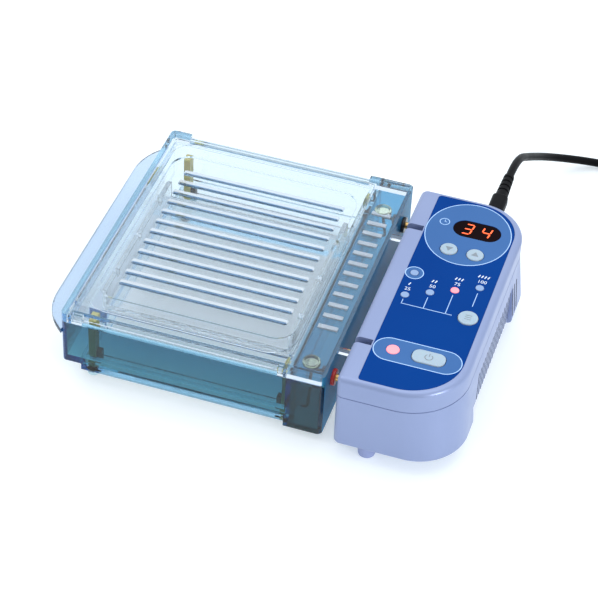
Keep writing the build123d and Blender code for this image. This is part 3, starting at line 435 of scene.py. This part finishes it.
# Each mark is closed and turned outwards by itself, then joined to the piece's mesh
def addMesh(work, mesh, material):
    shift = Matrix.Translation((-drawing["x"], -drawing["y"], 0))
    mesh.transform(Matrix.Scale(0.001, 4) @ shift)
    part = bmesh.new()
    part.from_mesh(mesh)
    bmesh.ops.remove_doubles(part, verts=part.verts, dist=meshSettings["markMerge"])
    bmesh.ops.recalc_face_normals(part, faces=part.faces)
    for face in part.faces:
        face.material_index = material
    part.to_mesh(mesh)
    part.free()
    work.from_mesh(mesh)


def addFlat(work, curve, low, high, material):
    curve.extrude = (high - low) / 2
    obj = newObject("flat", curve)
    graph = bpy.context.evaluated_depsgraph_get()
    mesh = bpy.data.meshes.new_from_object(obj.evaluated_get(graph))
    bpy.data.objects.remove(obj)
    mesh.transform(Matrix.Translation((0, 0, (low + high) / 2)))
    addMesh(work, mesh, material)


def addMark(work, outlines, low, high, material=0):
    curve = bpy.data.curves.new("mark", "CURVE")
    curve.dimensions = "2D"
    curve.fill_mode = "BOTH"
    for outline in outlines:
        spline = curve.splines.new("POLY")
        spline.points.add(len(outline) - 1)
        for point, (x, y) in zip(spline.points, outline):
            point.co = (x, y, 0, 1)
        spline.use_cyclic_u = True
    addFlat(work, curve, low, high, material)


def addNumber(work, text, x, y, height, low, high, material):
    curve = bpy.data.curves.new("number", "FONT")
    curve.body = text
    curve.size = height
    curve.align_x = "CENTER"
    curve.resolution_u = 3
    curve.offset_x, curve.offset_y = x, y
    addFlat(work, curve, low, high, material)


def ellipsePoints(x, y, rx, ry, steps=72):
    angles = [2 * math.pi * i / steps for i in range(steps)]
    return [(x + rx * math.cos(a), y + ry * math.sin(a)) for a in angles]


def stadiumPoints(x, y, width, depth, steps=24):
    r = depth / 2
    points = []
    for side, start in ((1, -90), (-1, 90)):
        for i in range(steps + 1):
            a = math.radians(start + 180 * i / steps)
            points.append((x + side * (width / 2 - r) + r * math.cos(a), y + r * math.sin(a)))
    return points


def roundedPoints(x, y, width, depth, r, steps=8):
    points = []
    for signX, signY, start in ((1, -1, -90), (1, 1, 0), (-1, 1, 90), (-1, -1, 180)):
        cx, cy = x + signX * (width / 2 - r), y + signY * (depth / 2 - r)
        for i in range(steps + 1):
            a = math.radians(start + 90 * i / steps)
            points.append((cx + r * math.cos(a), cy + r * math.sin(a)))
    return points


def barPoints(a, b, width):
    direction = Vector((b[0] - a[0], b[1] - a[1])).normalized()
    side = Vector((-direction.y, direction.x)) * width / 2
    ends = ((a, -1), (b, -1), (b, 1), (a, 1))
    return [(p[0] + side.x * k, p[1] + side.y * k) for p, k in ends]


def arcRing(x, y, radius, width, start, end, steps=30):
    angles = [math.radians(start + (end - start) * i / steps) for i in range(steps + 1)]
    outer, inner = (
        [(x + r * math.cos(a), y + r * math.sin(a)) for a in angles]
        for r in (radius + width / 2, radius - width / 2)
    )
    return outer + inner[::-1]


def madePiece(name, work, materialNames, body):
    mesh = bpy.data.meshes.new(name)
    work.to_mesh(mesh)
    work.free()
    mesh.set_sharp_from_angle(angle=math.radians(meshSettings["sharpAngle"]))
    finishPiece(linkMesh(name, mesh, materialNames), body)


# Mains lead: the part's own route, its coil and its tail as one line
leadSettings = {
    "entryX": 202.8, "entryZ": 46.0, "startY": 205.8, "radius": 2.5, "length": 1.845,
    "coilX": 299.0, "coilY": 262.0, "meanRadius": 27.8, "turnPitch": 6.8, "layerPitch": 5.7,
    "layers": 4, "halfTurns": 4, "plugHeight": 15.0, "plugTurn": 80.0,
}


# Radius and height at each half turn: inwards, a layer up, outwards, and so on
def coilStops(s):
    step = s["turnPitch"] / 2
    radius = s["meanRadius"] + s["turnPitch"] * s["halfTurns"] / 4
    stops = [(radius, s["radius"])]
    for layer in range(s["layers"]):
        last = layer == s["layers"] - 1
        for _ in range(s["halfTurns"] - (1 if last else 0)):
            radius += -step if layer % 2 == 0 else step
            stops.append((radius, s["radius"] + s["layerPitch"] * layer))
        if not last:
            stops.append((radius, s["radius"] + s["layerPitch"] * (layer + 1)))
    return stops


# Half circles from stop to stop; their control points stand a little outside the line
def coilLine(s, perHalf=9):
    stops = coilStops(s)
    points = []
    for i in range(len(stops) - 1):
        sign = 1 if i % 2 == 0 else -1
        start = Vector((s["coilX"], s["coilY"] + sign * stops[i][0], stops[i][1]))
        end = Vector((s["coilX"], s["coilY"] - sign * stops[i + 1][0], stops[i + 1][1]))
        middle = (start + end) / 2
        crest = Vector((sign, 0, 0)) * (end - start).length / 2
        for k in range(perHalf):
            a = math.pi * (k + 0.5) / perHalf
            grow = 1 / math.cos(math.pi / perHalf / 2)
            flat = (start - middle) * math.cos(a) + crest * math.sin(a)
            points.append(middle + Vector((flat.x * grow, flat.y * grow, flat.z)))
    return points


def leadLine(s):
    x, y, z = s["entryX"], s["startY"], s["entryZ"]
    outer = s["meanRadius"] + s["turnPitch"] * s["halfTurns"] / 4
    backY = s["coilY"] + outer
    r = s["radius"]
    # Straight out of the relief, down to the bench and along it to the coil
    points = [
        Vector((x, y - 0.6, z)),
        Vector((x, y + 20, z)),
        Vector((x + 3, y + 46, z - 17)),
        Vector((x + 12, y + 72, r + 10)),
        Vector((x + 36, backY - 2, r + 0.6)),
        Vector((s["coilX"] - 26, backY, r)),
        Vector((s["coilX"] - 8, backY, r)),
    ]
    points += coilLine(s)
    endY = s["coilY"] + outer - s["turnPitch"] / 2
    endZ = r + s["layerPitch"] * (s["layers"] - 1)
    # Off the top of the coil and down to the plug beside it
    points += [
        Vector((s["coilX"] + 8, endY, endZ)),
        Vector((s["coilX"] + 32, endY, endZ)),
        Vector((s["coilX"] + 64, endY - 18, s["plugHeight"] / 2 + 5)),
        Vector((s["coilX"] + s["plugTurn"], endY - 52, s["plugHeight"] / 2)),
        Vector((s["coilX"] + s["plugTurn"], endY - 84.6, s["plugHeight"] / 2)),
    ]
    return [at(*point) for point in points]


def makeLead(s):
    data = bpy.data.curves.new("mainsLead", "CURVE")
    data.dimensions = "3D"
    spline = data.splines.new("NURBS")
    line = leadLine(s)
    spline.points.add(len(line) - 1)
    for point, place in zip(spline.points, line):
        point.co = (*place, 1)
    spline.order_u = 3
    spline.use_endpoint_u = True
    spline.resolution_u = 6
    data.bevel_depth = s["radius"] / 1000
    data.bevel_resolution = 5
    data.use_fill_caps = True
    data.materials.append(materials["cordRubber"])
    lead = newObject("mainsLead", data)
    finishPiece(lead, "power_unit", ("cord_lead", "cord_coil", "cord_tail"))
    return lead


lead = makeLead(leadSettings)
plug = refined("mains_plug", "mainsPlug", ["cordRubber"], 0.4)
finishPiece(plug, "power_unit", ("mains_plug",))
relief = refined("cord_relief", "strainRelief", ["cordRubber"], 0.3)
finishPiece(relief, "power_unit", ("cord_relief",))
blades = refined("plug_blades", "plugBlades", ["platedBrass"], 0.2)
finishPiece(blades, "power_unit", ("plug_blades",))
print("stage: lead")

# Power unit, from its left edge and its panel's top face in the drawing
unitLeft = 160.4
panelTop = 57.6
slotSettings = {"left": 223.0, "front": 46.0, "back": 133.0, "middle": 22.0, "reach": 2.5}


def onUnit(x, y):
    return (unitLeft + x, y)


# Painted shade: the side faces of the vent slots take a dark material, for the shade deep inside the slots
def slotShadeZone(x, y, z, normal):
    s = slotSettings
    inside = x > s["left"] and s["front"] < y < s["back"] and abs(z - s["middle"]) < s["reach"]
    return 1 if inside and abs(normal.y) > faceLimits["square"] else 0


lowerCase = refined("lower_case", "lowerCase", ["casePlastic", "slotPaintedShade"], 0.4, slotShadeZone)
finishPiece(lowerCase, "power_unit", ("lower_case",))
unitPieces = (
    ("upper_case", "upperCase", ["casePlastic"], 0.4, "case_plastic"),
    ("panel_overlay", "bluePanel", ["panelFilm"], 0.0, "panel_blue"),
    ("display_window", "displayWindow", ["windowDark"], 0.25, "window_dark"),
    ("unit_feet", "unitFeet", ["footRubber"], 0.2, "foot_rubber"),
    ("anode_socket", "anodeSocket", ["terminalRed"], 0.25, "terminal_red"),
    ("cathode_socket", "cathodeSocket", ["terminalBlack"], 0.25, "terminal_black"),
    ("socket_sleeves", "socketSleeves", ["platedBrass"], 0.12, "contact_brass"),
    ("option_light", "optionLight", ["lampClear"], 0.0, "light_clear"),
    ("run_light", "runLight", ["lampRed"], 0.0, "light_red"),
)
for node, name, names, bevel, slotName in unitPieces:
    finishPiece(refined(node, name, names, bevel), "power_unit", (node,))

lightSettings = {"litFrom": unitLeft + 36, "litTo": unitLeft + 46}


# One of the four lights is lit
def litLamp(x, y, z, normal):
    return 1 if lightSettings["litFrom"] < x < lightSettings["litTo"] else 0


voltageLights = refined("voltage_lights", "voltageLights", ["lampClear", "lampRed"], 0.0, litLamp)
finishPiece(voltageLights, "power_unit", ("voltage_lights",))

innerPieces = {
    "display_module": "terminalBlack", "control_board": "boardGreen", "push_switches": "clipBlack",
    "reed_switches": "clipBlack", "power_board": "boardGreen", "transformer_core": "coreSteel",
    "transformer_winding": "coatedCopper", "smoothing_capacitors": "canSleeve",
    "heat_sink": "sinkAluminium", "case_screws": "brightSteel",
}
for node, materialName in innerPieces.items():
    dress(node, materialName)
print("stage: power unit")

# Printed marks on the panel
printMaterials = ["zoneFilm", "lineInk", "paleInk"]
zoneInk, outlineInk, signInk = range(len(printMaterials))
printSettings = {
    "lift": 0.05,
    "sink": 0.02,
    "line": 0.5,
    "stroke": 0.42,
    "ringSteps": 48,
    "smallSteps": 40,
    "ellipse": (*onUnit(35.5, 131.5), 24.2, 27.0),
    "window": (*onUnit(39.6, 136.3), 28.0, 14.8),
    "roundButtons": (onUnit(28.5, 115.2), onUnit(43.8, 115.2)),
    "roundHole": 5.25,
    "pad": (*onUnit(35.7, 24.0), 48.3, 17.3),
    "runLight": (*onUnit(22.0, 24.2), 3.8, 3.8),
    "runButton": (*onUnit(41.9, 24.2), 19.1, 10.7, 4.5),
    "option": (*onUnit(15.8, 88.8), 2.7, 4.8),
    "clock": onUnit(20.0, 138.2),
    "clockRing": (3.0, 2.55),
    "clockHands": ((0, 1.7), (1.3, 0)),
    "clockStroke": 0.4,
    "clockLift": 0.03,
    "strokes": (
        (onUnit(15.55, 61.8), onUnit(44.5, 61.8)),
        (onUnit(15.8, 61.8), onUnit(15.8, 65.4)),
        (onUnit(28.3, 61.8), onUnit(28.3, 71.4)),
        (onUnit(40.8, 61.8), onUnit(40.8, 78.0)),
        (onUnit(53.3, 72.6), onUnit(53.3, 84.2)),
    ),
    "numberHeight": 3.6,
    "numbers": (
        (*onUnit(15.8, 73.4), "25"),
        (*onUnit(28.3, 80.0), "50"),
        (*onUnit(40.8, 86.6), "75"),
        (*onUnit(53.3, 93.2), "100"),
    ),
    "glyphStep": 1.8,
    "glyphWidth": 0.65,
    "glyphHeight": 2.2,
    "glyphTurn": -0.35,
    "glyphs": (
        (*onUnit(15.8, 79.0), 1),
        (*onUnit(28.3, 85.6), 2),
        (*onUnit(40.8, 92.2), 3),
        (*onUnit(53.3, 98.8), 4),
    ),
}


# A row of bars as a node tree, for the small bars over the numbers and on a button
def barRow():
    tree = bpy.data.node_groups.new("barRow", "GeometryNodeTree")
    inputs = (
        ("Geometry", "Geometry"), ("Count", "Int"), ("Start", "Vector"), ("Step", "Vector"),
        ("Size", "Vector"), ("Turn", "Rotation"), ("Material", "Material"),
    )
    for name, kind in inputs:
        tree.interface.new_socket(name=name, in_out="INPUT", socket_type="NodeSocket" + kind)
    tree.interface.new_socket(name="Geometry", in_out="OUTPUT", socket_type="NodeSocketGeometry")
    given = tree.nodes.new("NodeGroupInput").outputs
    line = tree.nodes.new("GeometryNodeMeshLine")
    bar = tree.nodes.new("GeometryNodeMeshCube")
    row = tree.nodes.new("GeometryNodeInstanceOnPoints")
    solid = tree.nodes.new("GeometryNodeRealizeInstances")
    finish = tree.nodes.new("GeometryNodeSetMaterial")
    result = tree.nodes.new("NodeGroupOutput")
    for source, target in (
        (given["Count"], line.inputs["Count"]),
        (given["Start"], line.inputs["Start Location"]),
        (given["Step"], line.inputs["Offset"]),
        (given["Size"], bar.inputs["Size"]),
        (given["Turn"], row.inputs["Rotation"]),
        (given["Material"], finish.inputs["Material"]),
        (line.outputs["Mesh"], row.inputs["Points"]),
        (bar.outputs["Mesh"], row.inputs["Instance"]),
        (row.outputs["Instances"], solid.inputs["Geometry"]),
        (solid.outputs["Geometry"], finish.inputs["Geometry"]),
        (finish.outputs["Geometry"], result.inputs["Geometry"]),
    ):
        tree.links.new(source, target)
    return tree


barRowTree = barRow()


def addBars(work, count, start, step, size, turn, materialName, material):
    values = {
        "Count": count, "Start": start, "Step": step, "Size": size, "Turn": (0, 0, turn),
        "Material": materials[materialName],
    }
    obj = newObject("bars", bpy.data.meshes.new("bars"))
    modifier = obj.modifiers.new("barRow", "NODES")
    modifier.node_group = barRowTree
    for item in barRowTree.interface.items_tree:
        if item.in_out == "INPUT" and item.name in values:
            modifier[item.identifier] = values[item.name]
    mesh = baked(obj).data
    bpy.data.objects.remove(obj)
    addMesh(work, mesh, material)


# The two pale fields and the option light's ring, each with its outline
def fieldMarks(work, s, low, high):
    line = s["line"]
    x, y, rx, ry = s["ellipse"]
    window = stadiumPoints(*s["window"])
    hole, steps = s["roundHole"], s["ringSteps"]
    rounds = [ellipsePoints(*place, hole, hole, steps) for place in s["roundButtons"]]
    field = ellipsePoints(x, y, rx, ry)
    addMark(work, [field, window, *rounds], low, high, zoneInk)
    addMark(work, [ellipsePoints(x, y, rx + line, ry + line), field], low, high, outlineInk)
    x, y, width, depth = s["pad"]
    pad = stadiumPoints(x, y, width, depth)
    lamp = ellipsePoints(*s["runLight"], s["smallSteps"])
    addMark(work, [pad, lamp, roundedPoints(*s["runButton"])], low, high, zoneInk)
    addMark(work, [stadiumPoints(x, y, width + 2 * line, depth + 2 * line), pad], low, high, outlineInk)
    x, y, inner, outer = s["option"]
    innerRing, outerRing, edge = (ellipsePoints(x, y, r, r, steps) for r in (inner, outer, outer + line))
    addMark(work, [outerRing, innerRing], low, high, zoneInk)
    addMark(work, [edge, outerRing], low, high, outlineInk)


# The lines between the lights, the bars, the clock and the numbers
def lineMarks(work, s, low, high):
    for a, b in s["strokes"]:
        addMark(work, [barPoints(a, b, s["stroke"])], low, high, outlineInk)
    for x, y, count in s["glyphs"]:
        start = (x - s["glyphStep"] * (count - 1) / 2, y, (low + high) / 2)
        size = (s["glyphWidth"], s["glyphHeight"], high - low)
        step = (s["glyphStep"], 0, 0)
        addBars(work, count, start, step, size, s["glyphTurn"], printMaterials[signInk], signInk)
    x, y = s["clock"]
    top = high + s["clockLift"]
    ring = [ellipsePoints(x, y, r, r, s["smallSteps"]) for r in s["clockRing"]]
    addMark(work, ring, high, top, outlineInk)
    for reachX, reachY in s["clockHands"]:
        hand = barPoints((x, y), (x + reachX, y + reachY), s["clockStroke"])
        addMark(work, [hand], high, top, outlineInk)
    for x, y, text in s["numbers"]:
        addNumber(work, text, x, y, s["numberHeight"], low, high, signInk)


def printedMarks(s):
    work = bmesh.new()
    low, high = panelTop - s["sink"], panelTop + s["lift"]
    fieldMarks(work, s, low, high)
    lineMarks(work, s, low, high)
    madePiece("panelPrint", work, printMaterials, "power_unit")


printedMarks(printSettings)

# Two seven-part digits in the window
digitSettings = {
    "centre": onUnit(39.6, 136.3), "height": 8.6, "width": 4.6, "spacing": 10.6, "stroke": 0.9,
    "gap": 0.22, "slant": 0.16, "lift": 0.04, "sink": 0.02, "shapes": ("abgcd", "fgbc"),
}


# The seven parts, named as on any such display
def digitParts(s):
    w, h = s["width"] / 2, s["height"] / 2
    return {
        "a": ((-w, h), (w, h)), "g": ((-w, 0), (w, 0)), "d": ((-w, -h), (w, -h)), "f": ((-w, 0), (-w, h)),
        "b": ((w, 0), (w, h)), "e": ((-w, -h), (-w, 0)), "c": ((w, -h), (w, 0)),
    }


def segmentOutline(a, b, stroke, gap):
    direction = Vector((b[0] - a[0], b[1] - a[1]))
    length = direction.length
    direction.normalize()
    side = Vector((-direction.y, direction.x)) * stroke / 2
    start, end = Vector(a) + direction * gap, Vector(a) + direction * (length - gap)
    tip = direction * stroke / 2
    points = (start, start + tip + side, end - tip + side, end, end - tip - side, start + tip - side)
    return [(p.x, p.y) for p in points]


def makeDigits(s):
    work = bmesh.new()
    low, high = panelTop - s["sink"], panelTop + s["lift"]
    parts = digitParts(s)
    for index, shape in enumerate(s["shapes"]):
        shift = s["centre"][0] + (index - 0.5) * s["spacing"]
        for key in shape:
            outline = segmentOutline(*parts[key], s["stroke"], s["gap"])
            outline = [(shift + x + y * s["slant"], s["centre"][1] + y) for x, y in reversed(outline)]
            addMark(work, [outline], low, high)
    madePiece("displayDigits", work, ["digitRed"], "power_unit")


makeDigits(digitSettings)
print("stage: panel marks")

# Buttons and the signs on them
buttonSettings = {
    "time_down": ("time_down_button", "timeDownButton", *onUnit(28.5, 115.2)),
    "time_up": ("time_up_button", "timeUpButton", *onUnit(43.8, 115.2)),
    "voltage_select": ("voltage_button", "voltageButton", *onUnit(53.5, 62.5)),
    "run_pause": ("run_button", "runButton", *onUnit(41.9, 24.2)),
}
signSettings = {
    "buttonHeight": 0.7, "sink": 0.05, "lift": 0.04,
    "arrow": ((-2.2, -1.5), (2.2, -1.5), (0, 2.0)),
    "barCount": 3, "barPitch": 1.6, "barLength": 3.6, "barWidth": 0.5,
    "ringRadius": 2.1, "ringFrom": 125, "ringTo": 415, "powerBar": (0.5, 2.9), "powerStroke": 0.55,
}


# An arrow down or up, three bars, or the power sign
def buttonSign(body, x, y, s):
    work = bmesh.new()
    buttonTop = panelTop + s["buttonHeight"]
    low, high = buttonTop - s["sink"], buttonTop + s["lift"]
    if body in ("time_down", "time_up"):
        sign = -1 if body == "time_down" else 1
        addMark(work, [[(x + cornerX, y + cornerY * sign) for cornerX, cornerY in s["arrow"]]], low, high)
    elif body == "voltage_select":
        start = (x, y - s["barPitch"], (low + high) / 2)
        size = (s["barLength"], s["barWidth"], high - low)
        addBars(work, s["barCount"], start, (0, s["barPitch"], 0), size, 0.0, "markGrey", 0)
    else:
        stroke = s["powerStroke"]
        addMark(work, [arcRing(x, y, s["ringRadius"], stroke, s["ringFrom"], s["ringTo"])], low, high)
        lower, upper = s["powerBar"]
        addMark(work, [barPoints((x, y + lower), (x, y + upper), stroke)], low, high)
    madePiece(body + "Sign", work, ["markGrey"], body)


for body, (node, name, x, y) in buttonSettings.items():
    finishPiece(refined(node, name, ["buttonRubber"], 0.15), body, (node,))
    buttonSign(body, x, y, signSettings)
print("stage: buttons")

# Tank
tankSettings = {
    "bevel": 0.35, "width": 152.0, "depth": 177.0, "wall": 3.0, "slack": 0.1,
    "platform": (18.0, 23.0), "platformRight": 130.1, "corner": 0.5, "cornerTurn": 0.2,
    "bars": (134.0, 146.0, 39.6), "shelf": (130.5, 149.5, 37.0), "shelfEnds": (6, 171),
}
tankMaterials = [
    "wallAcrylic", "platformAcrylic", "flangeAcrylic", "frontShadeAcrylic", "barHighlight", "shelfShadeAcrylic",
    "sideShadeAcrylic", "boxShadeAcrylic",
]


def tankMaterial(x, y, z, normal):
    s = tankSettings
    slack, wall = s["slack"], s["wall"]
    upright = abs(normal.z) < faceLimits["upright"]
    if x < -slack / 2:
        return "flangeAcrylic"
    # Painted shade on the front-left corner edge
    if x < s["corner"] and y < s["corner"] and upright and abs(normal.x) > s["cornerTurn"] < abs(normal.y):
        return "sideShadeAcrylic"
    shelfLeft, shelfRight, shelfLow = s["shelf"]
    # Painted shade on the right wall and its top
    if x > s["width"] - wall - slack and z > shelfLow or x > s["width"] - slack:
        return "sideShadeAcrylic"
    # Painted shade on the front wall's outer faces
    if y < slack and upright:
        return "frontShadeAcrylic"
    # Painted shade on the front faces of the right compartment
    if x > shelfLeft and y < wall + slack and abs(normal.y) > faceLimits["square"]:
        return "boxShadeAcrylic"
    # Painted highlight on the tops of the shelf bars
    barLeft, barRight, barLow = s["bars"]
    if barLeft < x < barRight and z > barLow:
        return "barHighlight"
    # Painted shade on the shelf
    shelfFront, shelfBack = s["shelfEnds"]
    if shelfLeft < x < shelfRight and z > shelfLow and shelfFront < y < shelfBack:
        return "shelfShadeAcrylic"
    platformLow, platformHigh = s["platform"]
    inside = wall - slack < x < s["platformRight"] and wall - slack < y < s["depth"] - wall + slack
    return "platformAcrylic" if inside and platformLow < z < platformHigh else "wallAcrylic"


def tankZone(x, y, z, normal):
    return tankMaterials.index(tankMaterial(x, y, z, normal))


tankShell = refined("tank_shell", "tankShell", tankMaterials, tankSettings["bevel"], tankZone)
finishPiece(tankShell, "tank", ("tank_shell",))
tankPieces = (
    ("shelf_plugs", "shelfPlugs", ["plugClear"], 0.2, "holder_yellow"),
    ("compartment_cover", "compartmentCover", ["wallAcrylic"], 0.2, "clear_acrylic"),
    ("tank_feet", "tankFeet", ["clearFoot"], 0.2, "clear_foot"),
    ("electrode_holders", "electrodeHolders", ["holderYellow"], 0.2, "holder_yellow"),
    ("electrode_clips", "electrodeClips", ["clipBlack"], 0.2, "clip_black"),
    ("anode_wire", "anodeWire", ["brightSteel"], 0.0, "wire_platinum"),
    ("cathode_wire", "cathodeWire", ["brightSteel"], 0.0, "wire_platinum"),
    ("anode_lead", "anodeLead", ["terminalRed"], 0.0, "lead_red"),
    ("cathode_lead", "cathodeLead", ["terminalBlack"], 0.0, "lead_black"),
    ("anode_collar", "anodeCollar", ["terminalRed"], 0.15, "terminal_red"),
    ("cathode_collar", "cathodeCollar", ["terminalBlack"], 0.15, "terminal_black"),
    ("anode_pin", "anodePin", ["platedBrass"], 0.1, "contact_brass"),
    ("cathode_pin", "cathodePin", ["platedBrass"], 0.1, "contact_brass"),
)
for node, name, names, bevel, slotName in tankPieces:
    finishPiece(refined(node, name, names, bevel), "tank", (node,))
print("stage: tank")

# Lid and tray
lidSettings = {
    "bevel": 0.35, "restHeight": 41.0, "airGap": 0.08, "slack": 0.01, "rightEdge": 148.0, "rightTurn": 0.5,
    "ribHeight": 46.5, "ribFirst": 36.25, "ribPitch": 9.5, "ribCount": 12, "ribMiddle": 70.2,
    "ribReach": 51.0, "ribWidth": 4.6, "level": 0.99, "levelReach": 1.0,
}
lidMaterials = ["lidAcrylic", "ribHighlight", "sideShadeAcrylic", "ribShade"]


# Ribs are found by their rows; the step's one large level face has its middle near theirs
def lidMaterial(x, y, z, normal):
    s = lidSettings
    # Painted shade on the lid's right side
    if x > s["rightEdge"] and normal.x > s["rightTurn"]:
        return "sideShadeAcrylic"
    row = round((y - s["ribFirst"]) / s["ribPitch"])
    away = abs(y - s["ribFirst"] - s["ribPitch"] * row)
    if z < s["ribHeight"] or not 0 <= row < s["ribCount"] or away > s["ribWidth"] / 2:
        return "lidAcrylic"
    if abs(x - s["ribMiddle"]) > (s["levelReach"] if normal.z > s["level"] else s["ribReach"]):
        return "lidAcrylic"
    # Painted shade on the rib fronts, painted highlight on the rib tops
    return "ribShade" if normal.y < -faceLimits["upright"] else "ribHighlight"


def lidZone(x, y, z, normal):
    return lidMaterials.index(lidMaterial(x, y, z, normal))


# Two clear faces in one place render black, so the lid's contact face has a little air under it
def liftContact(obj, s):
    for vertex in obj.data.vertices:
        if abs(vertex.co.z * 1000 - s["restHeight"]) < s["slack"]:
            vertex.co.z += s["airGap"] / 1000


lidPiece = refined("lid", "clearLid", lidMaterials, lidSettings["bevel"], lidZone)
liftContact(lidPiece, lidSettings)
finishPiece(lidPiece, "lid_body", ("lid",))
magnets = refined("lid_magnets", "lidMagnets", ["brightSteel"], 0.1)
finishPiece(magnets, "lid_body", ("lid_magnets",))
tray = refined("gel_tray", "gelTray", ["trayAcrylic"], 0.3)
finishPiece(tray, "tray", ("gel_tray",))
print("stage: lid and tray")

# Floor and light: the floor glows a little, as a light table under the clear tank
stageSettings = {
    "size": 3.0, "cuts": 24,
    "floor": {
        "colour": (0.62, 0.63, 0.64), "second": (0.64, 0.64, 0.65), "rough": (0.5, 0.6),
        "broadScale": 1.0, "fineScale": 300.0, "bump": 0.02,
        "sockets": {"Emission Color": (0.86, 0.95, 1.0, 1), "Emission Strength": 0.50},
    },
    "world": (0.90, 0.95, 1.0), "worldLow": 0.28, "worldHigh": 1.25, "worldPeak": (-0.2, 0.6, 0.77),
    "lamps": (
        ("keyLamp", (-1.2, 0.1, 1.4), 0.8, 5.0),
        ("fillLamp", (1.20, -0.60, 0.50), 0.35, 6.0),
        ("topLamp", (0.1, 0.3, 1.6), 1.5, 5.0),
    ),
}


def makeFloor(s):
    work = bmesh.new()
    bmesh.ops.create_grid(work, x_segments=s["cuts"], y_segments=s["cuts"], size=s["size"])
    mesh = bpy.data.meshes.new("floor")
    work.to_mesh(mesh)
    work.free()
    materials["floorPale"] = surface("floorPale", s["floor"])
    linkMesh("floor", mesh, ["floorPale"])


def makeLamp(name, place, size, power):
    data = bpy.data.lights.new(name, "AREA")
    data.size = size
    data.energy = power
    lamp = newObject(name, data)
    lamp.location = place
    lamp.rotation_mode = "QUATERNION"
    lamp.rotation_quaternion = (-Vector(place)).to_track_quat("-Z", "Y")


# A soft sky, brightest towards worldPeak
def makeWorld(s):
    world = bpy.data.worlds.new("world")
    bpy.context.scene.world = world
    world.use_nodes = True
    tree = world.node_tree
    background = tree.nodes["Background"]
    background.inputs["Color"].default_value = (*s["world"], 1)
    facing = tree.nodes.new("ShaderNodeVectorMath")
    facing.operation = "DOT_PRODUCT"
    facing.inputs[1].default_value = s["worldPeak"]
    tree.links.new(tree.nodes.new("ShaderNodeTexCoord").outputs["Generated"], facing.inputs[0])
    level = spread(tree, facing.outputs["Value"], s["worldLow"], s["worldHigh"], -1.0, 1.0)
    tree.links.new(level, background.inputs["Strength"])


makeFloor(stageSettings)
makeWorld(stageSettings)
for lampSettings in stageSettings["lamps"]:
    makeLamp(*lampSettings)
scene = bpy.context.scene
scene.view_settings.view_transform = "Standard"
# Light passes many clear faces before it is out of the tank
bounces = 32
scene.cycles.max_bounces = bounces
scene.cycles.glossy_bounces = bounces
scene.cycles.transmission_bounces = bounces
scene.cycles.transparent_max_bounces = bounces // 2
print("stage: floor and light")
